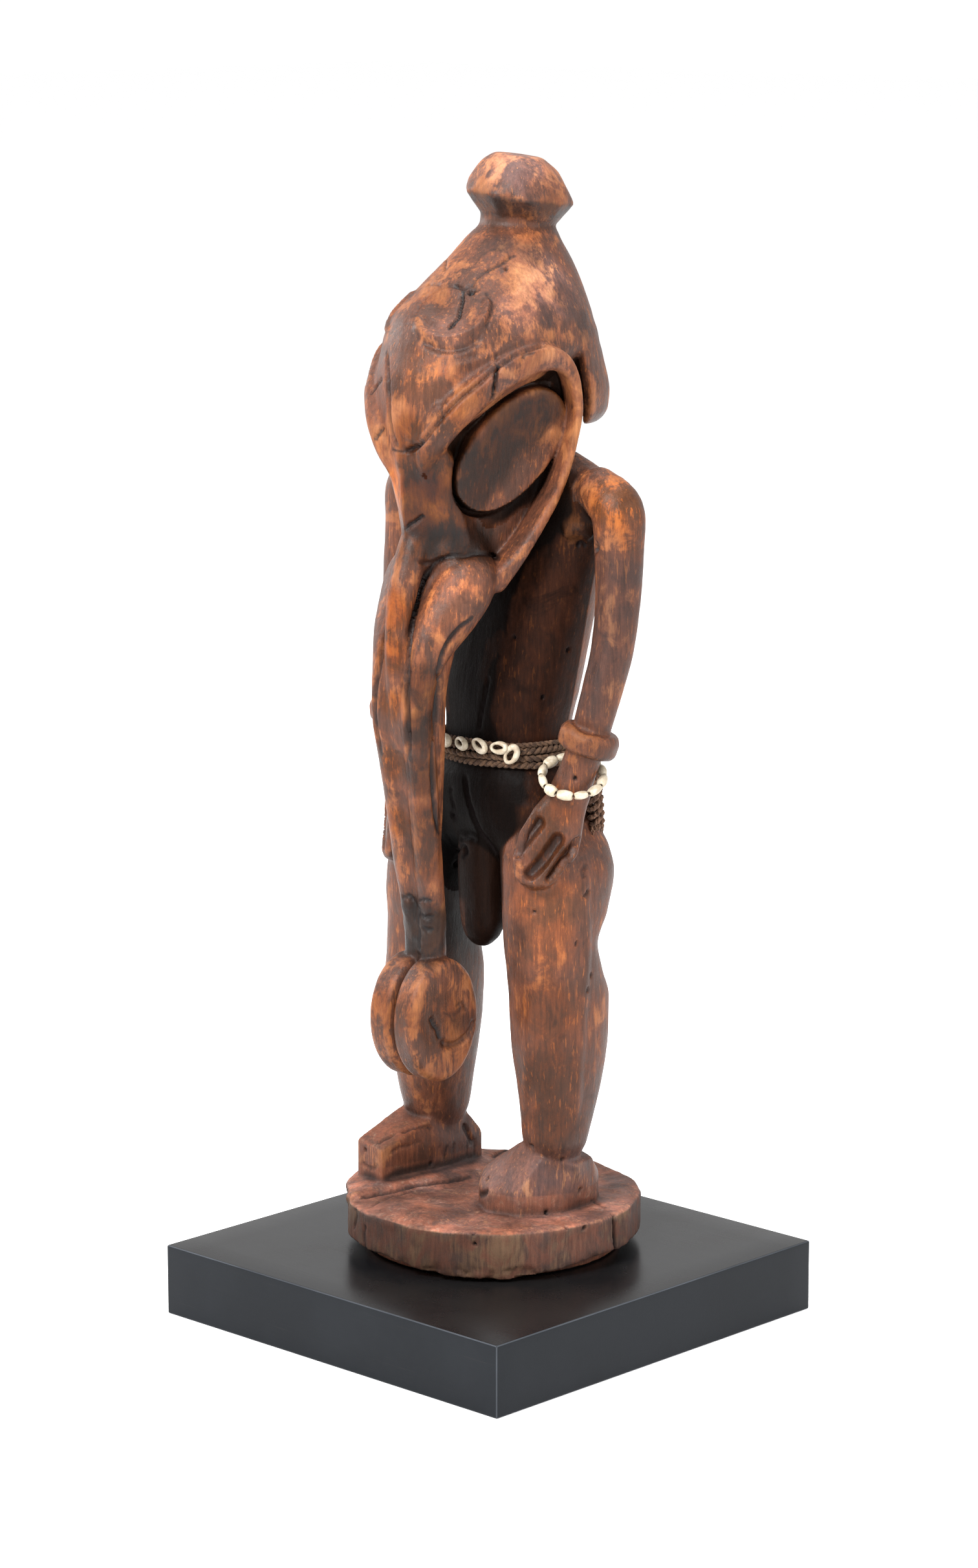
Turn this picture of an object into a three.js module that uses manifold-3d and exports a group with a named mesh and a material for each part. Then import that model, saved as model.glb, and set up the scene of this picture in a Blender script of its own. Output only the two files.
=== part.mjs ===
// Standing carved figure with a long curling proboscis, on a square display plinth.
// Millimetres, +Z up. The figure faces -Y, its own left side is +X.
// The origin is the centre of the plinth's underside.
import * as THREE from 'three';
import { ConvexGeometry } from 'three/addons/geometries/ConvexGeometry.js';
import { mergeVertices } from 'three/addons/utils/BufferGeometryUtils.js';
import Module from 'manifold-3d';
const wasm = await Module();
wasm.setup();

// ---------------------------------------------------------------- driving sizes
const PLINTH_SIDE = 230;          // square side of the display plinth
const PLINTH_H = 36;              // its thickness
const PLINTH_EDGE = 1.2;          // worn edge of the plinth
const REST_GAP = 0.3;             // clear distance between pieces that only touch
const BASE_TOP = 62;              // top of the carved round base
const BASE_R = 75;                // its radius
const BASE_C = [-3, 6];           // its centre
const BELT_Z = [284.5, 297];      // lower and upper edge of the fibre belt
const BELT_T = 3.2;               // thickness of the fibre belt
const SHELL_L = 10.2, SHELL_W = 7.6, SHELL_T = 4.6;    // one belt shell
const SHELL_X = [-34, -24.5, -14, -3.2, 7.6, 18.2, 27.6];   // places of the shells across the front
const SHELL_Z = 294, LAST_SHELL_Z = 291;
const BEAD_R = 2.8, BEAD_L = 7.4; // one bracelet bead
const BEADS = 12, BRACELET_R = 15.3;   // beads in the ring, radius of the ring
const BRACELET_AT = [58.4, -1.8, 284.5], BRACELET_TIP = 29;   // its centre, its tilt in degrees
const DISC_R = [23.8, 31];      // half length and half height of a curled disc
const DISC_T = 15.2;              // thickness of one curled disc
const DISC_C = [8.1, -46.5, 163];
const ARMLET_R = 15, ARMLET_H = 11;

// ---------------------------------------------------------------- helpers
const V = (x, y, z) => new THREE.Vector3(x, y, z);
const mirror = (p, s) => [p[0] * s, ...p.slice(1)];
const clamp = (x, a, b) => Math.min(b, Math.max(a, x));

// smooth monotone interpolation of table rows by their first column
function sample(rows, t) {
  const n = rows.length, m = rows[0].length;
  t = clamp(t, rows[0][0], rows[n - 1][0]);
  let i = 0;
  while (i < n - 2 && t > rows[i + 1][0]) i++;
  const h = rows[i + 1][0] - rows[i][0], s = (t - rows[i][0]) / h;
  const slope = (j, k) => (rows[j + 1][k] - rows[j][k]) / (rows[j + 1][0] - rows[j][0]);
  const tangent = (j, k) => {
    if (j === 0) return slope(0, k);
    if (j === n - 1) return slope(n - 2, k);
    const a = slope(j - 1, k), b = slope(j, k);
    return a * b > 0 ? 2 * a * b / (a + b) : 0;
  };
  const out = [t];
  for (let k = 1; k < m; k++) {
    const a = rows[i][k], b = rows[i + 1][k], ma = tangent(i, k) * h, mb = tangent(i + 1, k) * h;
    out.push((2 * s ** 3 - 3 * s ** 2 + 1) * a + (s ** 3 - 2 * s ** 2 + s) * ma + (3 * s ** 2 - 2 * s ** 3) * b + (s ** 3 - s ** 2) * mb);
  }
  return out;
}

// closed skin over rings of equal point count
function skin(rings) {
  const m = rings[0].length, pos = [], idx = [];
  for (const r of rings) for (const p of r) pos.push(p.x, p.y, p.z);
  for (let i = 0; i < rings.length - 1; i++)
    for (let j = 0; j < m; j++) {
      const a = i * m + j, b = i * m + (j + 1) % m, c = a + m, d = b + m;
      idx.push(a, b, d, a, d, c);
    }
  const cap = (i, flip) => {
    const c = rings[i].reduce((q, p) => q.add(p), V(0, 0, 0)).divideScalar(m);
    const k = pos.length / 3;
    pos.push(c.x, c.y, c.z);
    for (let j = 0; j < m; j++) {
      const a = i * m + j, b = i * m + (j + 1) % m;
      flip ? idx.push(k, b, a) : idx.push(k, a, b);
    }
  };
  cap(0, true);
  cap(rings.length - 1, false);
  const g = new THREE.BufferGeometry();
  g.setAttribute('position', new THREE.Float32BufferAttribute(pos, 3));
  g.setIndex(idx);
  return g;
}

// rows: z, centre x, centre y, half width, half depth; superellipse sections
function loft(rows, { seg = 22, n = 2.2, levels = null, phase = 0.5 } = {}) {
  const zs = levels || rows.map(r => r[0]);
  return skin(zs.map(z => {
    const [, cx, cy, rx, ry] = sample(rows, z);
    return Array.from({ length: seg }, (_, i) => {
      const a = 2 * Math.PI * (i + phase) / seg, c = Math.cos(a), s = Math.sin(a);
      return V(cx + rx * Math.sign(c) * Math.abs(c) ** (2 / n), cy + ry * Math.sign(s) * Math.abs(s) ** (2 / n), z);
    });
  }));
}

// rows: x, y, z, half width, half height along `up`; a round-ended bar along a smooth curve
function bar(rows, { seg = 10, steps = 20, up = V(0, 0, 1), closed = false } = {}) {
  const path = new THREE.CatmullRomCurve3(rows.map(r => V(r[0], r[1], r[2])), closed);
  const table = rows.map((r, i) => [i / (rows.length - 1), r[3], r[4]]);
  const rings = [];
  for (let k = 0; k <= steps; k++) {
    const t = k / steps, c = path.getPoint(t), d = path.getTangent(t).normalize();
    const [, rs, ru] = sample(table, t);
    const u = up.clone().addScaledVector(d, -up.dot(d)).normalize(), v = new THREE.Vector3().crossVectors(d, u);
    const ring = (q, f) => Array.from({ length: seg }, (_, i) => {
      const a = 2 * Math.PI * (i + 0.5) / seg;
      return q.clone().addScaledVector(u, ru * f * Math.cos(a)).addScaledVector(v, rs * f * Math.sin(a));
    });
    if (k === 0) rings.push(ring(c.clone().addScaledVector(d, -Math.min(rs, ru) * 0.75), 0.55));
    rings.push(ring(c, 1));
    if (k === steps) rings.push(ring(c.clone().addScaledVector(d, Math.min(rs, ru) * 0.75), 0.55));
  }
  return skin(rings);
}

// oval plate with rounded edge: axes u, v and face direction n, placed at c
function plate(c, ru, rv, half, edge, u, n, seg = 22) {
  const w = new THREE.Vector3().crossVectors(n, u).normalize();
  const prof = [[0, -half], [1, -half, -edge], [1, -half + edge, 0], [1, half - edge, 0], [1, half, -edge], [0, half]];
  const rings = prof.slice(1, -1).map(([, h, e]) => Array.from({ length: seg }, (_, i) => {
    const a = 2 * Math.PI * i / seg;
    return V(...c).addScaledVector(u, (ru + e) * Math.cos(a)).addScaledVector(w, (rv + e) * Math.sin(a)).addScaledVector(n, h);
  }));
  return skin(rings);
}

// ring turned from a closed profile, standing along direction d at c
function turned(profile, seg, c, d) {
  const g = new THREE.LatheGeometry(profile.map(([r, h]) => new THREE.Vector2(r, h)), seg);
  g.applyQuaternion(new THREE.Quaternion().setFromUnitVectors(V(0, 1, 0), d.clone().normalize()));
  return g.translate(...c);
}
const hull = pts => new ConvexGeometry(pts.map(p => V(...p)));

// flat plate with a drawn outline, thickness from a to b along n
function cutout(c, outline, a, b, u, n) {
  const w = new THREE.Vector3().crossVectors(n, u).normalize();
  const g = new THREE.ExtrudeGeometry(new THREE.Shape(outline.map(p => {
    const q = V(...p).sub(V(...c));
    return new THREE.Vector2(q.dot(u), q.dot(w));
  })), { depth: b - a, bevelEnabled: false, steps: 1 });
  g.translate(0, 0, a);
  g.applyMatrix4(new THREE.Matrix4().makeBasis(u, w, n));
  return g.translate(...c);
}

// ---------------------------------------------------------------- solids
function solid(g) {
  g = g.clone();
  g.deleteAttribute('normal');
  g.deleteAttribute('uv');
  g = mergeVertices(g, 1e-4);
  const p = g.attributes.position.array, ix = g.index.array, tri = [];
  for (let i = 0; i < ix.length; i += 3)
    if (ix[i] !== ix[i + 1] && ix[i + 1] !== ix[i + 2] && ix[i] !== ix[i + 2]) tri.push(ix[i], ix[i + 1], ix[i + 2]);
  let vol = 0;
  for (let i = 0; i < tri.length; i += 3) {
    const [a, b, c] = [0, 1, 2].map(k => V(p[3 * tri[i + k]], p[3 * tri[i + k] + 1], p[3 * tri[i + k] + 2]));
    vol += a.dot(b.cross(c));
  }
  if (vol < 0) for (let i = 0; i < tri.length; i += 3) [tri[i], tri[i + 1]] = [tri[i + 1], tri[i]];
  return new wasm.Manifold(new wasm.Mesh({ numProp: 3, vertProperties: new Float32Array(p), triVerts: new Uint32Array(tri) }));
}
const join = list => list.map(g => g.isBufferGeometry ? solid(g) : g).reduce((a, b) => a.add(b));
function geometry(man) {
  const m = man.getMesh(), g = new THREE.BufferGeometry();
  g.setAttribute('position', new THREE.BufferAttribute(new Float32Array(m.vertProperties), 3));
  g.setIndex(new THREE.BufferAttribute(new Uint32Array(m.triVerts), 1));
  g.computeVertexNormals();
  return g;
}

// ---------------------------------------------------------------- carved figure
const R_SEG = 32;
const base = loft([[PLINTH_H + REST_GAP, ...BASE_C, BASE_R - 4, BASE_R - 4], [40, ...BASE_C, BASE_R, BASE_R], [BASE_TOP - 2, ...BASE_C, BASE_R, BASE_R], [BASE_TOP, ...BASE_C, BASE_R - 1.5, BASE_R - 1.5]], { seg: R_SEG, n: 2 });

const LEG_L = [[62, 37, 5, 9, 9], [88, 39.5, 5.5, 12, 13], [97, 40.5, 5.5, 14.5, 16], [110, 40, 7.5, 16, 19], [128, 39.5, 9.5, 18, 23], [150, 39, 10, 20, 26.5], [168, 38.5, 10, 20.5, 27], [182, 38.5, 7, 20.5, 25], [196, 37.5, 5, 21, 23.5], [212, 36.5, 9, 22, 28], [232, 35, 12.5, 23, 30.5], [243, 32.5, 13, 22.5, 29], [252, 30, 13.5, 20, 26], [266, 26, 14, 18, 24]];
const LEG_R = [[62, -52, 15, 9, 9], [86, -52, 15.5, 12.5, 13], [97, -51.5, 15, 15.5, 17], [110, -51, 14, 17, 20], [128, -50, 13, 19, 23], [150, -49, 11.5, 21, 26], [168, -48, 10.5, 21.5, 26.5], [182, -47, 9, 21, 25], [196, -46, 8, 21, 24], [212, -45, 9, 22, 27], [232, -42, 11, 23, 29], [243, -39, 12.5, 23, 28.5], [252, -35, 14, 21, 27], [266, -28, 15, 19, 25]];
const FOOT_L = [[5, -10, 60], [8, -16, 60], [22, -24, 60], [40, -20, 60], [50, -2, 60], [50, 26, 60], [42, 36, 60], [24, 34, 60], [8, -16, 72], [22, -24, 72], [40, -20, 73], [50, -2, 74], [50, 26, 75], [42, 36, 75], [24, 34, 78], [5, -10, 79], [28, -7, 96], [46, -10, 91], [54.5, 6, 87], [51, 21, 87], [30, 20, 94]];
const FOOT_R = [[-46, -31, 60], [-64, -30, 60], [-70, -6, 60], [-68, 36, 60], [-40, 37, 60], [-38, 8, 60], [-46, -31, 82], [-64, -30, 84], [-70, -6, 86], [-68, 36, 82], [-40, 37, 80], [-38, 8, 80], [-64, 4, 96], [-42, 4, 93], [-42, 26, 93], [-62, 26, 95]];

const TORSO = [[236, 0, 18, 34, 24], [248, 0, 16, 43, 30], [262, 0, 14, 45, 31], [276, 0, 13, 40, 29], [288, 0, 13, 33, 26], [300, 0, 14, 32, 26], [320, 0, 16, 36, 27], [345, 0, 19, 41, 26], [370, 0, 22, 46, 25], [392, 0, 24, 52, 23], [408, 0, 24, 60, 22], [420, 0, 23, 62, 21], [430, 0, 21, 52, 18], [438, 0, 20, 34, 16]];
const NECK = [[420, 0, 19, 24, 20], [440, 0, 16, 20, 20], [474, 0, 10, 26, 32]];
const GENITAL = [[191, -1, -4, 4, 3], [197, 0, -4.5, 9, 7.5], [206, 1, -5, 11.5, 9.5], [225, 1, -6, 12, 10], [250, 1, -7, 11.5, 9]];

const ARM = [[56, 18, 422, 11, 11], [69, 17, 413, 13, 13.5], [71, 16.5, 395, 12, 12.5], [72, 14.5, 370, 11, 11.5], [71, 11.5, 345, 10.3, 11], [68.5, 7, 325, 9.7, 10], [66, 4, 311, 9.3, 9.3], [64.5, 2, 302, 9, 9], [61, 0, 290, 9, 9], [57.5, -3, 278, 9.5, 9.5]];
const ARMLET_AT = [64.6, 2.2, 302];
const HAND_AT = [51.5, -9.5, 256], HAND_T = 13.2;   // middle of the hand, its thickness
// outline of the hand from the wrist to the fingertips: along the hand, across it
const HAND = [[-31, 6], [-24, 9], [-14, 11], [-5, 13.5], [4, 15.5], [8.5, 14.8], [9.5, 13.2], [20, 11.5], [25, 8.5], [28.5, 2], [28.5, -3.5], [26, -8], [18, -12.5], [5, -14.5], [-8, -13], [-20, -9.5], [-31, -7]];

const HEAD = [[434, 0, -57, 3, 4], [441, 0, -54, 8, 8.5], [450, 0, -47, 17, 15.5], [460, 0, -37, 27, 26], [470, 0, -25, 35, 37], [481, 0, -9, 42, 51], [491, 0, 1, 45, 57.5], [503, 0, 2.5, 43, 53], [516, 0, 8, 37, 43.5], [529, 0, 13.5, 28.5, 33.5], [541, 0, 17, 21.5, 23], [548, 0, 20, 17.8, 18.2], [556, 0, 21, 18, 18]];

// rim of the face loop: crest point, half width, half height along the loop's outward direction
const LOOP_N = V(0.921, -0.350, -0.171).normalize();
const LOOP_U = V(-0.352, -0.56, -0.75).addScaledVector(LOOP_N, -V(-0.352, -0.56, -0.75).dot(LOOP_N)).normalize();
const RIM = [[5, -49, 418, 4, 4], [9, -51.5, 431, 5, 5], [13.5, -56, 443.5, 6.5, 5.5], [21, -53.5, 455.5, 7.6, 6], [29.5, -46, 467.5, 7.8, 6], [36.5, -35.5, 477.5, 7.6, 6], [42, -24, 484, 7.2, 6], [46, -11, 487, 6.4, 6], [49.2, -1, 484.4, 4.8, 7], [50.5, 5.6, 475.3, 3.4, 8], [50.2, 8.6, 461.5, 2.8, 8.5], [48.2, 7.4, 446.5, 2.6, 8.5], [45.2, 4.4, 430.3, 2.6, 8.5], [41.2, -0.4, 415.5, 2.8, 8.5], [36, -7.5, 400.5, 3.2, 8], [30.5, -14.5, 388.2, 4.2, 8], [24, -20.5, 379, 6, 8]];
const RIM_SINK = [0, 0, 0, 0, 0, 0, 0, -1, -2, -3.5, -4.5, -4.5, -4.5, -4.5, -4, -3.5, -2];
const MOUTH_AT = [0, -31, 391], MOUTH_R = [22.5, 20, 18];   // the mass that joins the face to the two bars
const CORE_AT = [34, -17, 441], CORE_DEPTH = [-38, -10];
const EYE_PLATE_AT = [32.5, -16.5, 442.5], EYE_PLATE_R = [36.5, 21.5];

const BAR = [[18, -28, 388, 8, 8], [16.5, -33, 379, 14.5, 14.5], [14.5, -41, 367, 14.5, 14.5], [11.5, -51.5, 352, 12, 12], [10.2, -57, 340, 9.5, 9.5], [9.8, -60.5, 325, 8, 8], [9.5, -60.5, 312, 7.8, 7.8], [8.9, -57, 292, 7.6, 7.6], [7.8, -52.7, 260, 7, 7], [7.2, -49.8, 240, 6.8, 6.8], [5.4, -45.6, 213, 6.6, 6.6], [5, -45, 190, 6.5, 6.5]];
const RIDGE = [[0, -46, 406, 8, 8], [0, -53.5, 392, 8, 8], [0, -60, 375, 7.2, 7.2], [0, -63.5, 355, 6.2, 6.2], [0, -64.5, 330, 5, 5], [0, -61.5, 300, 3.5, 3.5]];
const WEB = [[186, 0, -45, 8, 5], [215, 0, -44.5, 8, 6], [240, 0, -47, 9, 7], [265, 0, -48, 10, 9], [290, 0, -50, 11, 12], [320, 0, -50.5, 12, 13], [345, 0, -45, 13, 13.5], [365, 0, -36, 16, 15], [392, 0, -28, 19, 16]];
const NOSE = [[0, -62, 441], [0, -58.8, 404.5], [21, -52.5, 447], [-21, -52.5, 447], [18.5, -48, 424], [-18.5, -48, 424], [16, -42, 407], [-16, -42, 407], [15, -38, 392], [-15, -38, 392], [0, -48, 392], [0, -34, 446], [19, -30, 420], [-19, -30, 420]];
// raised floor of the loop between the eye plate, the mouth and the thin lower rim
const JAW = [[48.2, 7.4, 446.5], [45.2, 4.4, 430.3], [41.2, -0.4, 415.5], [36, -7.5, 400.5], [30.5, -14.5, 388.2], [24, -20.5, 379], [13, -41, 392], [13, -46, 403], [16, -46, 415], [32.5, -16.5, 442.5]], JAW_DEPTH = [-37, -9];
// wood that fills the fork under the mouth
const CHEEK = [[15.6, -48.5, 436.7], [14.1, -45.5, 424.7], [11.6, -39.5, 407.7], [11.1, -36, 392.7], [17.6, 3, 442.2], [28.1, 3, 416.7], [22.6, -3.5, 402.2], [20.6, -12, 390.2], [8.1, -45.5, 436.7], [6.1, -42.5, 424.7], [4.1, -36.5, 407.7], [4.1, -32.5, 392.7], [10.1, 5.5, 442.7], [20.1, 5.5, 418.7], [15.1, -0.5, 403.7], [13.1, -9.5, 391.7]];
const PAD = [[5, -38, 394, 8, 8], [6, -43, 380, 7, 7], [5.5, -50, 364, 6, 6]];

// knob: faceted, tilted a little towards the back left
const KNOB_TILT = THREE.MathUtils.degToRad(7.5), KNOB_AXIS = V(0.7228, 0.691, 0);
function knob() {
  const w = KNOB_AXIS.clone().multiplyScalar(Math.sin(KNOB_TILT)).add(V(0, 0, Math.cos(KNOB_TILT)));
  const u = KNOB_AXIS.clone().addScaledVector(w, -KNOB_AXIS.dot(w)).normalize(), v = new THREE.Vector3().crossVectors(w, u);
  const ring = (r, z, n, ph) => Array.from({ length: n }, (_, i) => {
    const a = 2 * Math.PI * (i + ph) / n, p = V(0, 21, z).addScaledVector(u, r * Math.cos(a)).addScaledVector(v, r * Math.sin(a));
    return [p.x, p.y, p.z];
  });
  return hull([...ring(18, 547.5, 8, 0.5), ...ring(27.6, 560, 9, 0), ...ring(24.5, 567.5, 9, 0.5), ...ring(19, 575.5, 8, 0.1), ...ring(12.5, 580, 7, 0.2)]);
}

// hair skirt behind the head: a wall with a hollow inside it
function skirt() {
  const outer = solid(loft([[451, 0, 13, 40, 48], [458, 0, 12, 44, 53], [470, 0, 10, 46.5, 54], [485, 0, 6, 46, 53], [499, 0, 3, 43, 52]], { seg: 22 }));
  const inner = solid(loft([[440, 0, 13, 34, 42], [470, 0, 10, 39, 46], [484, 0, 5, 36, 42]], { seg: 18 }));
  const front = solid(new THREE.BoxGeometry(140, 120, 120).rotateX(THREE.MathUtils.degToRad(-12)).translate(0, -37, 470));
  return outer.subtract(inner).subtract(front);
}

function hand(s) {
  const d = V(-0.22 * s, -0.36, -0.90).normalize(), n0 = V(0.60 * s, -0.76, 0.16);
  const n = n0.addScaledVector(d, -n0.dot(d)).normalize(), w = new THREE.Vector3().crossVectors(n, d);
  const frame = new THREE.Matrix4().makeBasis(d, w, n).setPosition(...mirror(HAND_AT, s));
  const h = HAND_T / 2, palm = skin([[-h, 3.2], [-h + 3, 0.3], [0, 0], [h - 3, 0.3], [h, 3.2]].map(([z, e]) => HAND.map(([x, y]) => {
    const k = 1 - e / Math.hypot(x, y);
    return V(x * k, y * k * s, z + 0.6);
  }))).applyMatrix4(frame);
  let m = solid(palm);
  // three grooves part the fingers, from the knuckles to the tips
  for (const [y, len] of [[-8, 21], [0, 24], [7, 20]]) {
    const cut = new THREE.BoxGeometry(len, 1.8, 9).rotateZ(y * 0.012).translate(17, y * s, 7).applyMatrix4(frame);
    m = m.subtract(solid(cut));
  }
  return m;
}

function figure() {
  const parts = [base, loft(LEG_L, { seg: 14, n: 2.3 }), loft(LEG_R, { seg: 14, n: 2.3 }), hull(FOOT_L), hull(FOOT_R),
    loft(TORSO, { seg: 20, n: 2.4 }), loft(NECK, { seg: 12 }), loft(GENITAL, { seg: 12, n: 2.4 }),
    loft(HEAD, { seg: 22, n: 2.1 }), hull(NOSE), knob(), new THREE.SphereGeometry(1, 14, 8).scale(...MOUTH_R).translate(...MOUTH_AT), loft(WEB, { seg: 12, n: 3 }), bar(RIDGE, { seg: 8, steps: 10, up: V(0, 1, 0) })].map(solid);
  parts.push(skirt());
  for (const s of [1, -1]) {
    const m = rows => rows.map(r => mirror(r, s));
    const n = V(LOOP_N.x * s, LOOP_N.y, LOOP_N.z), u = V(LOOP_U.x * s, LOOP_U.y, LOOP_U.z);
    parts.push(solid(bar(m(ARM), { seg: 10, steps: 14, up: V(0, 1, 0) })));
    const along = V(6 * s, 4, 21);
    const r = ARMLET_R, h = ARMLET_H / 2;
    parts.push(solid(turned([[0, -h], [r - 2.5, -h], [r, -h * 0.35], [r, h * 0.35], [r - 2.5, h], [0, h]], 20, mirror(ARMLET_AT, s), along)));
    parts.push(hand(s));
    const rim = RIM.map((p, i) => [p[0] + LOOP_N.x * RIM_SINK[i], p[1] + LOOP_N.y * RIM_SINK[i], p[2] + LOOP_N.z * RIM_SINK[i], p[3], p[4]]);
    parts.push(solid(bar(m(rim), { seg: 7, steps: 25, up: n })));
    parts.push(solid(cutout(mirror(CORE_AT, s), [...m(RIM.slice(2)), mirror([8, -50, 392], s), mirror([6, -56, 420], s)], ...CORE_DEPTH, u, n)));
    parts.push(solid(cutout(mirror(CORE_AT, s), m(JAW), ...JAW_DEPTH, u, n)), solid(bar(m(PAD), { seg: 8, steps: 5, up: V(0, 1, 0) })), solid(hull(m(CHEEK))));
    const pc = V(...mirror(EYE_PLATE_AT, s)).addScaledVector(n, -6);
    parts.push(solid(plate([pc.x, pc.y, pc.z], ...EYE_PLATE_R, 6, 2, u, n)));
    parts.push(solid(bar(m(BAR), { seg: 9, steps: 14, up: V(0, 1, 0) })));
    parts.push(solid(plate(mirror(DISC_C, s), DISC_R[1], DISC_R[0], DISC_T / 2, 3, V(0, 0, 1), V(s, 0, 0), 24)));
  }
  // the joined wood is solid all through: only its outer skin is kept
  return join(parts).decompose().filter(p => p.volume() > 0).reduce((a, b) => a.add(b));
}

// ---------------------------------------------------------------- fibre belt, shells, bracelet
const waist = z => sample(TORSO, z);
function beltRing(z, grow, seg) {
  const [, cx, cy, rx, ry] = waist(z);
  return Array.from({ length: seg }, (_, i) => {
    const a = 2 * Math.PI * (i + 0.5) / seg, c = Math.cos(a), s = Math.sin(a), n = 2.4;
    const x = rx * Math.sign(c) * Math.abs(c) ** (2 / n), y = ry * Math.sign(s) * Math.abs(s) ** (2 / n), l = Math.hypot(x, y);
    return V(cx + x * (1 + grow / l), cy + y * (1 + grow / l), z);
  });
}
function belt() {
  const rings = (grow, zs) => zs.map(z => beltRing(z, grow, 20));
  const [z0, z1] = BELT_Z, mid = (z0 + z1) / 2;
  const outer = skin([...rings(BELT_T - 0.8, [z0]), ...rings(BELT_T + 0.6, [z0 + 2, mid, z1 - 2]), ...rings(BELT_T - 0.8, [z1])]);
  const inner = skin(rings(0.9, [z0 - 4, z0, mid, z1, z1 + 4]));
  return solid(outer).subtract(solid(inner));
}

// one shell lies flat on the front of the belt at x, turned by roll in its plane
function shell(x, z, roll, lift) {
  const n = 2.4, [, cx, cy, wx, wy] = waist(z), rx = wx + BELT_T + 0.6, ry = wy + BELT_T + 0.6;
  const y = cy - ry * (1 - Math.abs((x - cx) / rx) ** n) ** (1 / n);
  const out = V(Math.sign(x - cx) * Math.abs((x - cx) / rx) ** (n - 1) / rx, -(Math.abs((y - cy) / ry) ** (n - 1)) / ry, 0).normalize();
  const along = new THREE.Vector3().crossVectors(V(0, 0, 1), out);
  const g = new THREE.SphereGeometry(1, 8, 5).rotateX(Math.PI / 2).scale(SHELL_L / 2, SHELL_W / 2, SHELL_T / 2).rotateZ(roll);
  g.applyMatrix4(new THREE.Matrix4().makeBasis(along, V(0, 0, 1), out));
  return geometry(solid(g.translate(...V(x, y, z).addScaledVector(out, SHELL_T / 2 + lift).toArray())));
}
// cord knot that hangs from the belt at the figure's left hip
const KNOT = [[47.4, 24, 279, 3, 3], [48.6, 25, 272, 3.4, 4], [49.6, 25, 264, 3.6, 5.2], [51.4, 25, 257, 3.6, 5.4]];

function bead(i) {
  const t = THREE.MathUtils.degToRad(BRACELET_TIP), side = V(0.7228, 0.691, 0), fwd = V(0.691, -0.7228, 0);
  const down = fwd.clone().multiplyScalar(Math.cos(t)).add(V(0, 0, -Math.sin(t)));
  const a = 2 * Math.PI * (i + 0.5) / BEADS, r = BEAD_R, h = BEAD_L / 2;
  const c = V(...BRACELET_AT).addScaledVector(side, BRACELET_R * Math.cos(a)).addScaledVector(down, BRACELET_R * Math.sin(a));
  const d = side.clone().multiplyScalar(-Math.sin(a)).addScaledVector(down, Math.cos(a));
  return geometry(solid(turned([[0, -h], [r * 0.62, -h], [r, 0], [r * 0.62, h], [0, h]], 7, c.toArray(), d)));
}

// ---------------------------------------------------------------- assembly
const wood = new THREE.MeshStandardMaterial({ name: 'aged wood', color: 0x8a4a2b, roughness: 0.62, metalness: 0 });
const black = new THREE.MeshStandardMaterial({ name: 'black painted wood', color: 0x17181a, roughness: 0.35, metalness: 0 });
const fibre = new THREE.MeshStandardMaterial({ name: 'twisted plant fibre', color: 0x4a3222, roughness: 0.95, metalness: 0 });
const shellMat = new THREE.MeshStandardMaterial({ name: 'old shell', color: 0xd6c9b0, roughness: 0.5, metalness: 0 });
const beadMat = new THREE.MeshStandardMaterial({ name: 'shell beads', color: 0xe2d8c2, roughness: 0.45, metalness: 0 });

const statuette = new THREE.Group();
const put = (name, g, mat) => {
  const m = new THREE.Mesh(g, mat);
  m.name = name;
  statuette.add(m);
};

const e = PLINTH_EDGE, hs = PLINTH_SIDE / 2;
put('display_plinth', hull([-1, 1].flatMap(x => [-1, 1].flatMap(y => [[x * (hs - e), y * (hs - e), 0], [x * hs, y * hs, e], [x * hs, y * hs, PLINTH_H - e], [x * (hs - e), y * (hs - e), PLINTH_H]]))), black);
const body = figure();
put('carved_figure', geometry(body), wood);
put('fibre_belt', geometry(belt()), fibre);
put('belt_knot', geometry(solid(bar(KNOT, { seg: 8, steps: 5, up: V(0, 1, 0) }))), fibre);
SHELL_X.forEach((x, i) => {
  const last = i === SHELL_X.length - 1;
  put(`belt_shell_${i + 1}`, shell(x, last ? LAST_SHELL_Z : SHELL_Z, last ? 1.1 : -0.12, 0.3), shellMat);
});
for (let i = 0; i < BEADS; i++) put(`bracelet_bead_${String(i + 1).padStart(2, '0')}`, bead(i), beadMat);

export default statuette;
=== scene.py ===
import math
import bpy
import numpy as np
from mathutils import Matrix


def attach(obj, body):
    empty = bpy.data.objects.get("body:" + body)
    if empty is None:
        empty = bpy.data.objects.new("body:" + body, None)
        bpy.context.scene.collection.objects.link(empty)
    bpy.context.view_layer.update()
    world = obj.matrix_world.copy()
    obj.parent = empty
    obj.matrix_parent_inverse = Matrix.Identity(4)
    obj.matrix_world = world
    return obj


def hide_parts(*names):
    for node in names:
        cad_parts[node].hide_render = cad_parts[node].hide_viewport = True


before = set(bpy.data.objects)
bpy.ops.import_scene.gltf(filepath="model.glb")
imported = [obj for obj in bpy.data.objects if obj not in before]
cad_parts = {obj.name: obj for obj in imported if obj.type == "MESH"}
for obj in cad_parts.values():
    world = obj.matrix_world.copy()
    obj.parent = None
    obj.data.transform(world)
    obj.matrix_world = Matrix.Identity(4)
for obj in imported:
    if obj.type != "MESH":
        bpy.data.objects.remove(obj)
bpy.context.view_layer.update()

# Looks for the carved figure. Lengths in this script are millimetres until a mesh is made.
GRID = 1.1          # spacing of the grid that the carved surface is cut from

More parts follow.
